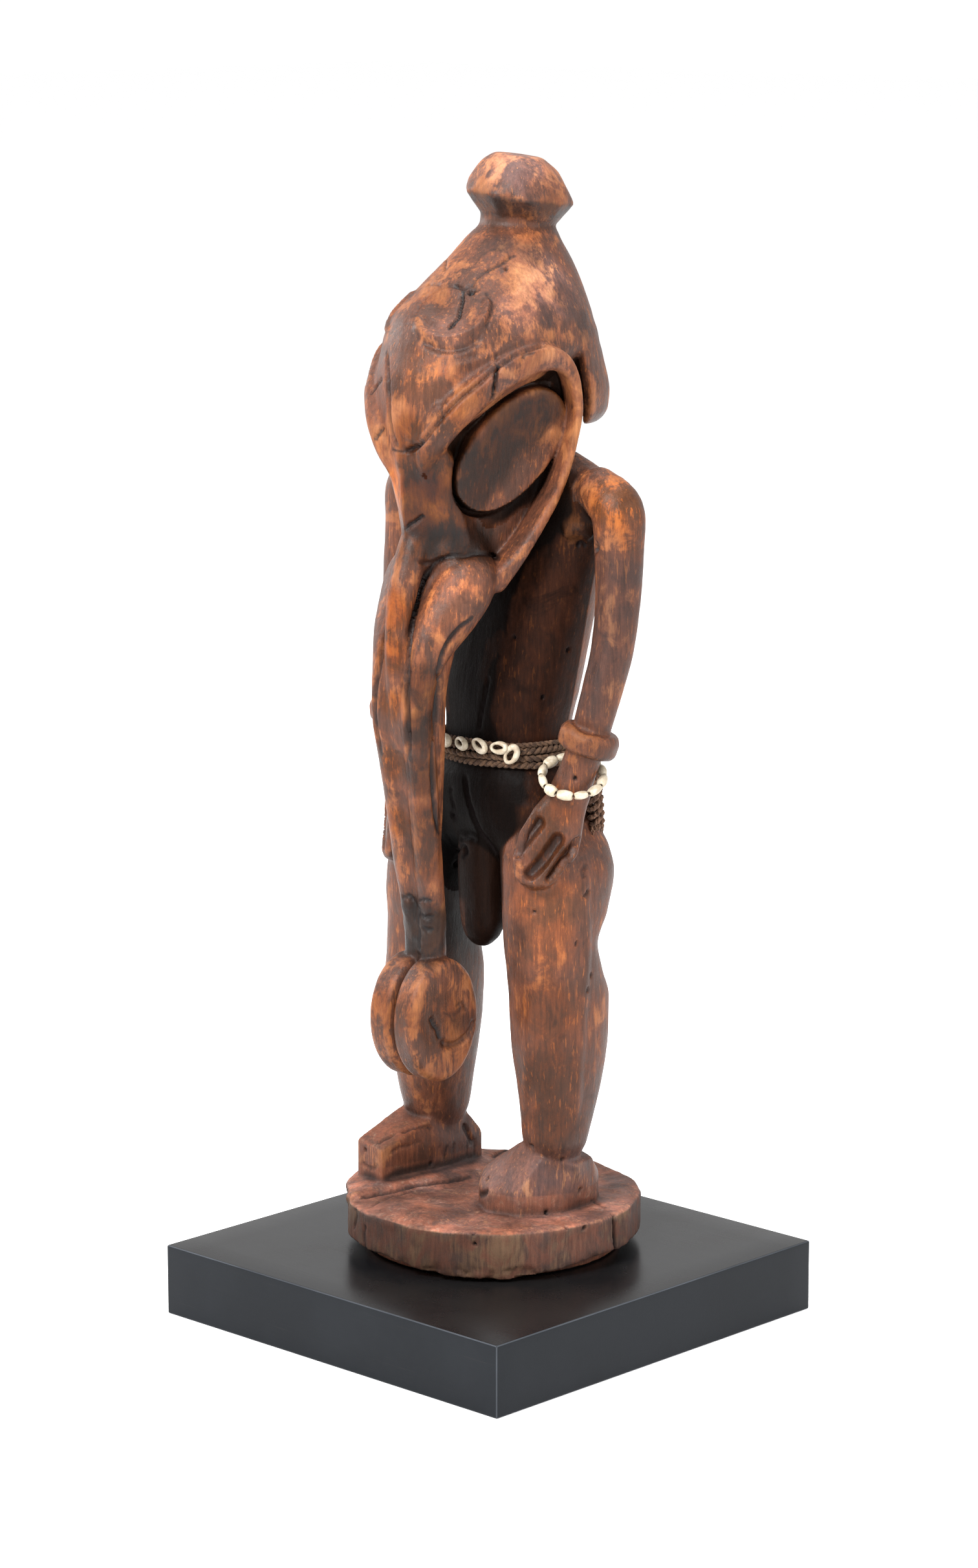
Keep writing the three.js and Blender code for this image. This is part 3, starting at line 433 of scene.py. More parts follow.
def carve():
    F = Field((-92, -82, 33.5), (92, 90, 586), GRID)
    # round base with an uneven lower edge
    F.do(F.zloft([(33, -3, 6, 60, 60), (36.4, -3, 6, 60, 60), (37, -3, 6, 73, 73), (50, -3, 6, 75, 75), (59.5, -3, 6, 75, 75), (62, -3, 6, 74, 74)], n=2.0, cap=0.8), 0.5)
    s = F.sl((-90, -80, 33), (90, 90, 54))
    x, y, z = F.grid(s)
    ang = np.degrees(np.arctan2(y - BASE_C[1], x - BASE_C[0]))[:, :, 0]
    rr = np.hypot(x - BASE_C[0], y - BASE_C[1])
    low = base_bottom(ang)[:, :, None]
    F.D[s] = np.where(rr > 63, smax(F.D[s], np.minimum((low - z), (rr - 64)), 0.6), F.D[s])
    s = F.sl((-90, -80, 33), (90, 90, 70))
    x, y, z = F.grid(s)
    ang = (np.degrees(np.arctan2(y - BASE_C[1], x - BASE_C[0])) % 360)[:, :, 0]
    rr = np.hypot(x - BASE_C[0], y - BASE_C[1])
    k = np.clip(np.searchsorted(FLATS, ang, side="right") - 1, 0, len(FLATS) - 2)
    half, mid = (FLATS[k + 1] - FLATS[k]) / 2, (FLATS[k + 1] + FLATS[k]) / 2
    flat = (75.4 * np.cos(np.radians(half)) / np.cos(np.radians(ang - mid)))[:, :, None]
    bevel = curve(ang, FLATS, 0.5 + 1.3 * (np.sin(FLATS * 0.31) * 0.5 + 0.5))[..., 0][:, :, None]
    d = np.maximum(rr - flat, (rr - flat + z - 62 + bevel) * 0.7071)
    F.D[s] = smax(F.D[s], d.astype(np.float32), 0.5)
    F.do(F.box((0, 0, 31.3), (100, 100, 5)), 0, "cut")
    # a raised place under the right foot and a ridge across the base
    F.do(F.ell((-52, 6, 61), (27, 48, 6)), 5)
    ridge = [on_plane(548, 1850, 2, 62), on_plane(600, 1838, 2, 62), on_plane(655, 1829, 2, 62), on_plane(700, 1823, 2, 62), on_plane(735, 1818, 2, 62)]
    F.do(F.tube([[*p[:2], 61.5, 4.4, 3.2] for p in ridge], up=(0, 0, 1)), 2.5)
    F.do(F.ell((-4, -50, 60), (26, 16, 5)), 5)
    # legs, feet, trunk
    F.do(F.zloft(LEG_L, n=2.3), 3)
    F.do(F.zloft(LEG_R, n=2.3), 3)
    F.do(F.hull(FOOT_L, rd=0.9), 1.4)
    F.do(F.hull(FOOT_R, rd=1.1), 1.6)
    F.do(F.zloft(TORSO, n=2.4), 4)
    F.do(F.zloft(NECK, n=2.2), 5)
    F.do(F.zloft(GENITAL, n=2.4), 1.5)
    for s in (1, -1):
        F.do(F.tube(side(ARM, s)), 4)
        fore = side((6, 4, 21), s)
        B = basis(fore, (1, 0, 0))
        at = side((64.6, 2.2, 302), s)
        F.do(F.disc(at, 14.8, 14.8, 5.6, B, rd=3.6), 0.8)
        F.do(F.disc(at + B[:, 2] * 3.6, 13.6, 13.6, 2.6, B, rd=1.6), 0.8)
        n, d = side((0.60, -0.76, 0.16), s), side((-0.22, -0.36, -0.90), s)
        HB = basis(n, d)
        F.do(F.prism(side((51.5, -9.5, 256), s) + HB[:, 2] * 0.6, HB, [(p[0], p[1] * s) for p in HAND], 6.6, rd=4.5), 3)
    # head
    F.do(F.zloft(HEAD, n=2.1), 2)
    for s in (1, -1):
        n, u = side(LOOP_N, s), side(LOOP_U, s)
        B = basis(n, u)
        cc = side((34, -17, 441), s) - n * 24
        outline = np.array([p[:3] for p in RIM[2:]] + [[8, -50, 392], [6, -56, 420]])
        outline = side(outline, s)
        F.do(F.prism(cc, B, [((p - cc) @ B[:, 0], (p - cc) @ B[:, 1]) for p in outline], 14, rd=3), 3)
        jaw = side(JAW, s)
        cj = side((34, -17, 441), s) - n * 23
        F.do(F.prism(cj, B, [((p - cj) @ B[:, 0], (p - cj) @ B[:, 1]) for p in jaw], 14, rd=3), 3)
    S = F.zloft(SKIRT, n=2.2, cap=3)
    s_, d = S
    x, y, z = F.grid(s_)
    d = smax(d, 24.5 - 0.2126 * (z - 470) - y, 3)
    I = F.zloft([(438, 0, 13, 34, 42), (470, 0, 10, 39, 46), (484, 0, 5, 36, 42), (490, 0, 4, 28, 34)], n=2.2, cap=5)
    tmp = np.full(F.D.shape, 50, np.float32)
    tmp[s_] = d
    tmp[I[0]] = smax(tmp[I[0]], -I[1], 2)
    F.D = smin(F.D, tmp, 2)
    F.do(F.hull(NOSE, rd=1.2), 4)
    for s in (1, -1):
        F.do(F.hull(side(CHEEK, s), rd=1.0), 2.5)
    F.do(F.ell((0, -31, 391), (22.5, 20, 18)), 4)
    rim = [[*(np.array(p[:3]) + LOOP_N * k), p[3], p[4]] for p, k in zip(RIM, RIM_SINK)]
    for s in (1, -1):
        n, u = side(LOOP_N, s), side(LOOP_U, s)
        # a narrow moat is cut round the eye plate before the rim and the plate go on
        pc = side((32.1, -17.2, 441.6), s) - n * 6
        F.do(F.disc(pc + n * 10.5, 37.8, 24.1, 11, basis(n, u), rd=1.5, n=2.1), 1.2, "cut")
        F.do(F.tube(side(rim, s), up=n, sub=5, n=2.9), 2.4)
        F.do(F.disc(pc, 35.2, 21.5, 6, basis(n, u), rd=2.2, n=2.1), 0.5)
    # the two bars, the ridge between them, the web behind and the curled discs
    for s in (1, -1):
        F.do(F.tube(side(BAR, s)), 1.6)
    F.do(F.tube(RIDGE), 3.0)
    for s in (1, -1):
        F.do(F.tube(side(PAD, s)), 1.5)
    F.do(F.zloft(WEB, n=3), 1.5)
    for s in (1, -1):
        F.do(F.disc(side((8.1, -46.5, 163), s), 31, 23.8, 7.6, basis((s, 0, 0), (0, 0, 1)), rd=4.2), 0.8)
    # knob
    a = math.radians(7.5)
    t = np.array([0.7228, 0.691, 0])
    B = basis(np.array([math.sin(a) * t[0], math.sin(a) * t[1], math.cos(a)]), t)
    ring = lambda r, z, n, ph: [np.array([0, 21, z]) + B[:, 0] * r * math.cos(2 * math.pi * (i + ph) / n) + B[:, 1] * r * math.sin(2 * math.pi * (i + ph) / n) for i in range(n)]
    F.do(F.hull(ring(18, 547.5, 8, 0.5) + ring(27.6, 560, 9, 0) + ring(24.5, 567.5, 9, 0.5) + ring(19, 575.5, 8, 0.1) + ring(12.5, 580, 7, 0.2), rd=1.2), 1.0)
    return F


F = carve()
V, Q = surface(F.D, F.lo, F.h)


def normals(V, Q):
    n = np.cross(V[Q[:, 2]] - V[Q[:, 0]], V[Q[:, 3]] - V[Q[:, 1]])
    out = np.zeros_like(V)
    for k in range(3):
        out[:, k] = sum(np.bincount(Q[:, c], n[:, k], len(V)) for c in range(4))
    return out / (np.linalg.norm(out, axis=1)[:, None] + 1e-12)


N = normals(V, Q)
push = np.zeros(len(V))
dark_marks_and_groove_shade = np.zeros(len(V))


def line_distance(L, reach):
    """vertices within reach of the line L, and their distance and place along it"""
    L = np.array(L, float)
    sel = np.nonzero(((V > L.min(0) - reach) & (V < L.max(0) + reach)).all(1))[0]
    P = V[sel]
    best, place, base, tot = np.full(len(sel), 1e9), np.zeros(len(sel)), 0.0, np.linalg.norm(np.diff(L, axis=0), axis=1).sum() + 1e-9
    for a, b in zip(L[:-1], L[1:]):
        e = b - a
        l = np.linalg.norm(e) + 1e-9
        t = np.clip(((P - a) @ e) / l**2, 0, 1)
        d = np.linalg.norm(P - a - t[:, None] * e, axis=1)
        m = d < best
        best[m], place[m] = d[m], (base + t[m] * l) / tot
        base += l
    return sel, best, place


def smooth_line(pix, sub=6):
    """points on the surface under a smooth line through picture points"""
    P = np.array(pix, float)
    if len(P) > 2:
        P = catmull(np.linspace(0, len(P) - 1, (len(P) - 1) * sub + 1), P)
    else:
        P = P[0] + (P[1] - P[0]) * np.linspace(0, 1, sub + 1)[:, None]
    L = np.array([F.hit(u, v) for u, v in P])
    keep = [0]
    for i in range(1, len(L)):
        if np.linalg.norm(L[i] - L[keep[-1]]) < 14:
            keep.append(i)
    return L[keep]


def mark(pix, width, depth, ink=1.0, taper=True, mirror=False, wobble=0.0, seed=1, flat=0.0):
    """a groove (depth > 0) or a ridge (depth < 0) along a line of picture points"""
    L = smooth_line(pix)
    if wobble:
        L = L + np.stack([noise(L + 7 * k, 5.0, seed + k) for k in range(3)], 1) * wobble
    for s in {False: (1,), True: (1, -1), "far": (-1,)}[mirror]:
        sel, d, p = line_distance(side(L, s), width * 2)
        w = 1 - step(d, width * flat, width)
        if taper:
            w = w * step(p, -0.001, 0.12) * step(1 - p, -0.001, 0.12)
        push[sel] -= depth * w
        # the ink darkens the groove: partly dirt, partly painted shade in the narrow cut
        if ink:
            dark_marks_and_groove_shade[sel] = np.maximum(dark_marks_and_groove_shade[sel], ink * (1 - step(d, 0.35 * width, 0.9 * width)) * (w > 0.02))


def hole(u, v, r=1.1, depth=2.2):
    p = F.hit(u, v)
    sel = np.nonzero(np.abs(V - p).max(1) < 3 * r + 2)[0]
    d = np.linalg.norm(V[sel] - p, axis=1)
    r = max(r, 0.75 * F.h)
    push[sel] -= depth * (1 - step(d, 0.5 * r, 1.25 * r))
    # the hole's inside darkened: painted shade
    dark_marks_and_groove_shade[sel] = np.maximum(dark_marks_and_groove_shade[sel], 1 - step(d, 0.6 * r, 1.35 * r))


def patch(u, v, ru, rv, turn, height, edge=0.5, mirror=False):
    """an oval place pushed out by height, radii in millimetres across the line of sight"""
    p = F.hit(u, v)
    c, s_ = math.cos(math.radians(turn)), math.sin(math.radians(turn))
    for s in ((1, -1) if mirror else (1,)):
        q = side(V, s) - p
        a, b, g = q @ RT, q @ UP, q @ FW
        a, b = a * c + b * s_, -a * s_ + b * c
        e = np.sqrt((a / ru) ** 2 + (b / rv) ** 2 + (g / (2.2 * max(ru, rv))) ** 2)
        facing = (side(N, s) @ FW) < 0.15
        push[:] += height * (1 - step(e, edge, 1.0)) * facing


# ---- forehead: oval eye with a raised lower lid, cracks
LID = [(640, 500), (652, 511), (668, 519), (692, 523), (718, 517), (738, 506), (750, 489), (755, 472), (750, 456)]
patch(690, 474, 17.5, 10.5, -10, -2.4, 0.35)
patch(674, 462, 9, 6.5, -10, -0.9, 0.2)
mark(LID, 3.4, -2.6, 0)
mark([(641, 492), (645, 476), (655, 460), (671, 449), (694, 443), (722, 444)], 2.0, 1.2, 0.12)
mark([(652, 526), (668, 536), (694, 541), (722, 535), (746, 520)], 3.0, 1.6, 0.4)
mark([(650, 484), (662, 500), (690, 506), (716, 500), (734, 488)], 2.4, 1.0, 0.12)
mark(LID[3:], 2.5, -1.6, 0, mirror="far")
mark([(694, 443), (708, 442), (726, 446)], 1.7, 0.9, 0.3, mirror="far")
mark([(716, 448), (713, 464), (707, 486), (700, 500), (692, 510)], 1.5, 1.9, 0.95, wobble=0.5)
mark([(796, 396), (776, 408), (752, 420), (740, 430), (729, 444)], 1.3, 0.9, 0.65, wobble=0.7)
mark([(750, 452), (758, 468), (757, 486), (752, 512)], 1.4, 0.9, 0.6, wobble=0.8)
mark([(690, 394), (689, 406), (687, 420)], 1.2, 0.9, 0.6)
mark([(702, 440), (716, 446), (728, 442), (738, 452)], 2.0, 1.1, 0.7, wobble=0.8)
hole(728, 452, 1.9, 2.4)
hole(783, 416, 0.8)
# ---- rims and nose
mark([(631, 697), (652, 684), (672, 658), (694, 633), (715, 613), (736, 597), (764, 571), (801, 546), (838, 534)], 2.4, 2.4, 0.5, taper=False)
mark([(715, 613), (736, 597), (764, 571), (801, 546), (838, 534)], 2.4, 2.0, 0.5, mirror="far")
mark([(598, 540), (600, 570), (601, 600), (602, 640), (607, 672), (617, 692)], 1.8, 1.7, 0.55)
mark([(626, 682), (645, 668), (664, 644), (684, 621)], 3.4, -1.2, 0)
mark([(650, 697), (668, 678), (690, 652), (712, 630)], 2.6, -0.7, 0)
mark([(700, 566), (735, 560), (775, 540), (812, 520)], 3.0, -0.8, 0)
mark([(768, 562), (767, 585), (763, 616)], 1.6, 3.0, 1.0, taper=False)
mark([(768, 546), (766, 562)], 1.2, 0.8, 0.4)
mark([(606, 694), (616, 698), (626, 697), (640, 690), (653, 680)], 1.3, 1.3, 0.8, wobble=0.3)
mark([(626, 820), (634, 812), (643, 806), (656, 796)], 1.7, 2.2, 0.9, wobble=0.4)
mark([(572, 612), (582, 598), (592, 585)], 1.3, 1.4, 0.8)
mark([(580, 680), (587, 669), (594, 660)], 1.3, 1.3, 0.8)
mark([(680, 640), (685, 652), (684, 662)], 1.0, 0.5, 0.3)
mark([(809, 556), (814, 548), (826, 545)], 1.6, 1.4, 0.7, wobble=0.5)
# ---- groove along the side of the bar
mark([(736, 950), (708, 974), (688, 1002), (678, 1038), (674, 1090), (670, 1142), (669, 1198), (672, 1246), (678, 1294)], 2.3, 2.2, 0.95, mirror=True)
mark([(712, 856), (690, 862), (672, 873), (656, 895), (645, 927), (637, 968), (632, 1008), (629, 1064), (631, 1120), (634, 1180)], 2.1, 2.8, 0.8, mirror=True)
mark([(640, 862), (660, 872), (690, 862), (722, 858), (752, 856), (774, 866)], 2.0, 1.5, 0.5, wobble=0.4)
# ---- chest ledge near the armpit
mark([(870, 826), (888, 821), (905, 823), (921, 831)], 5.0, -2.6, 0)
mark([(924, 838), (919, 850), (912, 862), (895, 878), (884, 898), (878, 922)], 3.4, 3.0, 0.8, wobble=0.5)
mark([(905, 845), (898, 838), (892, 846)], 1.8, 1.8, 0.9)
# ---- belly lines
mark([(757, 1043), (751, 1075), (745, 1105), (741, 1132)], 1.3, 1.3, 0.9)
mark([(719, 1193), (722, 1222), (729, 1251), (741, 1280), (756, 1303), (772, 1322)], 1.9, 1.5, 0.7)
mark([(700, 1215), (699, 1232), (703, 1250), (698, 1262)], 1.4, 1.2, 0.8, wobble=0.9)
for pix in ([(697, 1262), (706, 1258), (702, 1268)], [(712, 1300), (724, 1294), (735, 1300)], [(708, 1314), (716, 1306), (722, 1318), (714, 1326)], [(700, 1336), (712, 1330), (720, 1322)]):
    mark(pix, 1.8, 1.6, 0.85, wobble=0.9)
# ---- resin lumps low on the bars
for k, (u, v) in enumerate([(628, 1396), (636, 1420), (643, 1445), (657, 1398), (668, 1410), (664, 1434), (660, 1452), (648, 1462), (630, 1404), (652, 1424)]):
    patch(u, v, 4.6, 5.4, 20 * k, 0.9, 0.2)
for pix in ([(622, 1386), (634, 1384), (640, 1392)], [(620, 1400), (632, 1404), (640, 1400), (640, 1414)], [(648, 1392), (656, 1390), (668, 1394)], [(650, 1412), (660, 1416), (672, 1414)], [(648, 1400), (649, 1425), (651, 1452), (650, 1470)], [(624, 1424), (634, 1428), (642, 1424)], [(656, 1432), (664, 1438), (670, 1434)]):
    mark(pix, 1.5, 1.4, 0.9, wobble=0.7)
# ---- slit and curl on the disc
mark([(666, 1572), (672, 1584), (678, 1594), (680, 1606)], 1.8, 2.4, 0.95)
mark([(680, 1606), (690, 1615), (704, 1614), (718, 1604), (729, 1590), (735, 1572)], 3.0, 2.0, 0.45)
patch(662, 1590, 6, 11, 20, -0.8, 0.1)
mark([(704, 1555), (716, 1550), (720, 1562)], 1.3, 0.8, 0.5)
# ---- fingers and thumb
for pix, w_ in (([(799, 1316), (808, 1302), (818, 1288), (831, 1272)], 4.4), ([(820, 1350), (836, 1334), (848, 1318), (862, 1298)], 4.3), ([(851, 1358), (864, 1338), (876, 1322), (892, 1303)], 3.6)):
    mark(pix, w_, 4.8, 0.55, taper=False, mirror=True, flat=0.35)
mark([(806, 1322), (812, 1330), (808, 1340)], 2.2, 1.2, 0.2)
# ---- facet edges down the thigh, shin and bar
mark([(904, 1300), (903, 1350), (905, 1400), (908, 1460), (902, 1540), (895, 1640), (889, 1740)], 5.0, -1.1, 0, mirror=True)
mark([(820, 1545), (816, 1620), (812, 1700), (812, 1750)], 4.5, -0.7, 0)
mark([(640, 1000), (632, 1060), (628, 1130), (634, 1230), (640, 1330)], 1.6, 0.7, 0.35, wobble=0.4)
mark([(905, 1335), (898, 1348), (903, 1358)], 1.6, 0.9, 0.5)
mark([(899, 1388), (905, 1382), (908, 1374)], 2.2, 1.3, 0.5)
# ---- feet and base: cracks, splits
mark([(949, 1878), (950, 1900), (951, 1925), (951, 1950)], 1.9, 3.6, 1.0, taper=False)
patch(905, 1128, 7, 6, 0, -1.1, 0.1)
patch(876, 1130, 6, 7, 0, 0.9, 0.1)
patch(946, 1146, 5, 7, 0, 0.8, 0.1)
mark([(565, 1893), (563, 1912), (565, 1932)], 1.4, 1.6, 0.9)
mark([(548, 1866), (552, 1880), (547, 1900)], 1.3, 1.0, 0.6)
mark([(556, 1852), (590, 1846), (630, 1836), (664, 1830), (700, 1824), (732, 1818)], 2.0, 1.8, 0.75, wobble=0.9)
mark([(570, 1868), (600, 1852), (640, 1842)], 1.4, 0.9, 0.5, wobble=0.9)
mark([(760, 1790), (772, 1782), (784, 1778)], 1.7, 1.6, 0.85)
mark([(912, 1855), (925, 1862), (936, 1868)], 1.2, 0.9, 0.7)
mark([(755, 1838), (748, 1846), (736, 1848)], 2.6, 1.6, 0.8)
mark([(560, 1796), (575, 1806), (584, 1800)], 1.3, 0.8, 0.5)
mark([(620, 1752), (640, 1745), (656, 1742), (668, 1746)], 1.4, 1.2, 0.6, wobble=0.8)
mark([(584, 1770), (600, 1760), (612, 1752)], 1.4, 0.9, 0.5, wobble=0.8)
mark([(600, 1784), (618, 1775), (650, 1764)], 1.2, 0.7, 0.4, wobble=0.8)
mark([(716, 1735), (722, 1750), (730, 1768)], 2.2, 1.8, 0.6, wobble=0.8)
for k in range(7):
    mark([(668 + 11 * k, 1772 - 2 * k), (667 + 11 * k, 1786 - k), (668 + 11 * k, 1800 - 2 * k)], 1.1, 0.7, 0.5, wobble=0.8, seed=k)
for u, v in [(889, 1203), (906, 1379), (826, 1409), (891, 1458), (913, 1507), (907, 1530), (795, 985), (878, 1005), (839, 1078), (731, 1907), (734, 1923), (804, 1903), (876, 1897), (903, 1898), (822, 1772), (869, 1793), (896, 1839), (844, 1875), (689, 1873), (666, 1799), (565, 1778), (754, 1822), (592, 1256)]:
    hole(u, v, 1.0)

# ---- tool marks and weathering over the whole surface
below = step(-V[:, 2], -64, -58)
rad = np.hypot(V[:, 0] - BASE_C[0], V[:, 1] - BASE_C[1])
base_side = step(rad, 70, 73) * (V[:, 2] < 63) * (1 - step(N[:, 2], 0.4, 0.7))
base_top = (V[:, 2] < 70) * step(N[:, 2], 0.4, 0.7)
limb = V[:, 2] > 66
push += 0.26 * fbm(V, (14, 14, 30), 3, 3) * limb
push += 0.16 * fbm(V, (3.2, 3.2, 9), 9, 2) * limb
push += 0.55 * fbm(V, (9, 9, 5), 5, 3) * base_top
grain = np.stack([np.degrees(np.arctan2(V[:, 1] - BASE_C[1], V[:, 0] - BASE_C[0])) * 1.3, V[:, 2] * 0.12, rad * 0.1], 1)
push += base_side * (0.28 * fbm(grain, (2.4, 3, 3), 21, 3) + 0.5 * fbm(V, (14, 14, 9), 8, 2))
chip = base_side * step(-V[:, 2], -47, -41) * step(fbm(V, (8, 8, 6), 31, 2), 0.1, 0.5)
push -= 1.2 * chip
# crust on the lower ends of the bars
crust = np.exp(-(((V - F.hit(648, 1424)) / [17, 17, 15]) ** 2).sum(1) * 1.3) * (V[:, 1] < -36)
lumps = fbm(V, (4.5, 4.5, 6), 77, 3)
push += 0.9 * crust * lumps
dark_marks_and_groove_shade = np.maximum(dark_marks_and_groove_shade, 0.85 * step(crust, 0.15, 0.5) * step(-lumps, 0.30, 0.48))
V2 = V + N * push[:, None]
# nothing grows above the CAD's box or down into the plinth
V2[:, 2] = np.clip(V2[:, 2], 36.35, 582)
N2 = normals(V2, Q)

# ------------------------------------------------------------------ wear, dirt, painted shade and painted highlights by place
Dc = np.clip(F.D, -7, 7)
b_fine = F.sample(box_blur(Dc, max(1, round(2.6 / F.h))), V)
b_wide = F.sample(box_blur(np.clip(F.D, -12, 12), max(2, round(8 / F.h))), V)
wear = np.clip(b_fine / 0.85, -1, 1)
# hollows where the wide blur finds the surface concave: partly dirt, partly painted shade
hollow_dirt_and_shade = np.clip(-b_wide / 3.2, 0, 1)
x, y, z = V.T
n_a, n_b, n_c = fbm(V, 16, 41, 3), fbm(V, 26, 51, 3), fbm(V, (7, 7, 14), 61, 3)

# places that are lighter or darker, redder or greyer: x, y, z, radius, gain, warmth. Some are the wood's own patina and
# wear; others are painted light and shade: painted highlights on the knob top, the forehead and the bar tops, painted
# shade on the near nose plane, the eye plates and the mouth.
PAINT = [(11, 8.4, 573.9, 20, 1.6, -0.9), (9.6, -3.7, 561.7, 9, 0.55, 0.3), (23.8, 12.9, 562.5, 9, 0.6, 0.2), (-5.9, -3.2, 566.6, 8, 0.7, 0.3), (34, 6.7, 520.1, 20, 1.75, -0.9), (35.7, -17.2, 509.7, 13, 1.6, -0.5), (-12.3, -12.3, 532.6, 14, 1.15, 0.3), (14.5, 9.3, 548.3, 13, 1.2, 0.3), (-0.1, 2.1, 549.5, 12, 1.15, 0.2), (13.3, -3.9, 539, 7, 0.55, -0.3), (24.2, 4.4, 533.6, 7, 0.6, -0.3), (37.9, 14.4, 513, 9, 0.5, -0.2), (41.3, -2.9, 505.7, 7, 0.55, -0.2), (28.7, -45, 486.6, 7, 0.6, 0.2), (40.1, 24.5, 499.2, 9, 0.55, 0), (0.2, -37.7, 514, 9, 0.8, 0.4), (17.7, -47.7, 499.5, 11, 1.7, 0), (12.8, -58.1, 480, 16, 1.2, 0.7), (6.8, -61.4, 451.5, 10, 0.6, 1.6), (-2.9, -61.1, 472.9, 7, 0.6, 0.5), (42.5, -36.8, 479.9, 9, 1.05, -0.2), (51.1, -8.3, 485.5, 9, 1.15, -0.3), (29.7, -55.8, 459.6, 10, 0.85, 0.9), (36.5, -47.3, 470.2, 9, 0.8, 0.6), (-8.8, -61.6, 424.4, 11, 1.1, 1.8), (12.1, -57.6, 425.9, 12, 0.36, 1.3), (4.8, -54.7, 409.4, 9, 0.38, 1.2), (25.5, -31.5, 435.6, 17, 0.19, 1.0), (34.6, -16.4, 453.6, 17, 0.20, 1.0), (20.6, -37.6, 421.7, 12, 0.22, 0.9), (41.3, -3.1, 462.4, 12, 0.24, 0.9), (13, -43.2, 399.7, 14, 0.28, 0.8), (20.1, -28.1, 397.2, 12, 0.25, 0.6), (22.9, -46.7, 379.1, 15, 1.75, 0.2), (17.9, -56.3, 365.6, 11, 1.4, 0.4), (0.5, -68.2, 366.6, 12, 0.9, 2), (-1.4, -69.5, 346.1, 12, 0.8, 2), (17, -63, 331.8, 12, 0.4, 1), (16.5, -62.5, 309.6, 12, 0.28, 1.1), (14.4, -60.6, 286.8, 12, 0.28, 1.1), (13.3, -57.3, 263.9, 12, 0.4, 0.9), (8.4, -56.9, 243.9, 12, 0.5, 0.9), (0, -68, 320.8, 9, 0.75, 1.6), (-4, -62.8, 291, 9, 0.75, 1.6), (-5.9, -59.3, 261.4, 9, 0.75, 1.5), (-4, -51, 208, 17, 0.2, 0.4), (6, -52, 206, 16, 0.22, 0.4), (75.3, 10.4, 419, 17, 1.25, 1.5), (48, 8.1, 419.8, 10, 0.7, 0.5), (82.9, 16, 402, 12, 0.9, 0.8), (78.8, 6.8, 380.7, 15, 0.6, -0.3), (78.3, 5.2, 362, 15, 0.6, -0.4), (75.5, 1.6, 340.1, 14, 0.62, -0.5), (71.2, -2.8, 321.2, 13, 0.7, -0.2), (53.8, -13.6, 269.5, 14, 0.8, 1.2), (56.7, -16.7, 248, 12, 0.72, 1.1), (51.6, -11.1, 220.6, 20, 1.4, 1), (52.5, -11.9, 201.5, 16, 1.2, 0.7), (51.9, -11.2, 168.7, 18, 0.76, 1.0), (50.9, -9.9, 135.5, 18, 0.64, 0.9), (49.4, -8.2, 108.6, 15, 0.60, 0.8), (42.9, -15.2, 80.6, 14, 1.3, -0.4), (18.7, -17.6, 77.8, 12, 1.3, -0.6), (53.6, 6.3, 81.5, 12, 1.1, -0.6), (-41.9, -11.2, 77.7, 18, 1.0, 0.8), (70, -9, 302, 14, 0.68, 0.3), (-2.3, -68.9, 166.5, 16, 0.75, 0.8), (15.7, -51.1, 163.2, 18, 0.66, 0.7), (-45.8, -2.6, 102.5, 18, 0.75, 0.3)]

n_d = fbm(V, (7, 7, 15), 71, 4)
# the torso front: partly its own dark paint, partly painted shade from the head and the nose bars above it
on_trunk = (1 - step(np.abs(zl(V, TORSO, 2.4)), 1.8, 3.6)) * step(z, 232, 238) * (1 - step(z, 424, 434)) * (y < 24)
reach = curve(z, [236, 262, 285, 300, 345, 385, 410, 432], [30, 30, 26, 15, 15, 28, 44, 40])[:, 0]
dark_paint_and_shade = on_trunk * step(reach + 9 * n_b + 6 * n_d - np.where(x > 0, x, -x * 0.55), -9, 9)
dark_paint_and_shade = dark_paint_and_shade * (1 - 0.45 * step(n_d + 0.35 * n_b, 0.18, 0.52) * step(x, -8, 8) * step(z, 298, 308) * (1 - step(z, 385, 400)))
# painted shade in the groin between the genital and the thighs
groin_shade = step(z, 186, 196) * (np.abs(x) < 15) * (y < 10) * (y > -20) * (1 - step(z, 232, 250)) * (1 - 0.5 * step(-N @ RT, 0.5, 0.9))
dark_paint_and_shade = np.maximum(dark_paint_and_shade, groin_shade)
groin_shade = step(z, 200, 226) * (1 - step(z, 262, 272)) * (1 - step(np.where(x > 0, x, -x) + 7 * n_b, 15, 31)) * (y < 14) * (y > -20)
dark_paint_and_shade = np.maximum(dark_paint_and_shade, groin_shade)
# painted shade deep between the legs
deep_shade = step(z, 150, 205) * (1 - step(z, 240, 262)) * (1 - step(np.abs(x + 2), 8, 22)) * (y > -34) * (y < 30) * step(-b_wide, 0.2, 2.0)
dark_paint_and_shade = np.maximum(dark_paint_and_shade, deep_shade * 0.8)
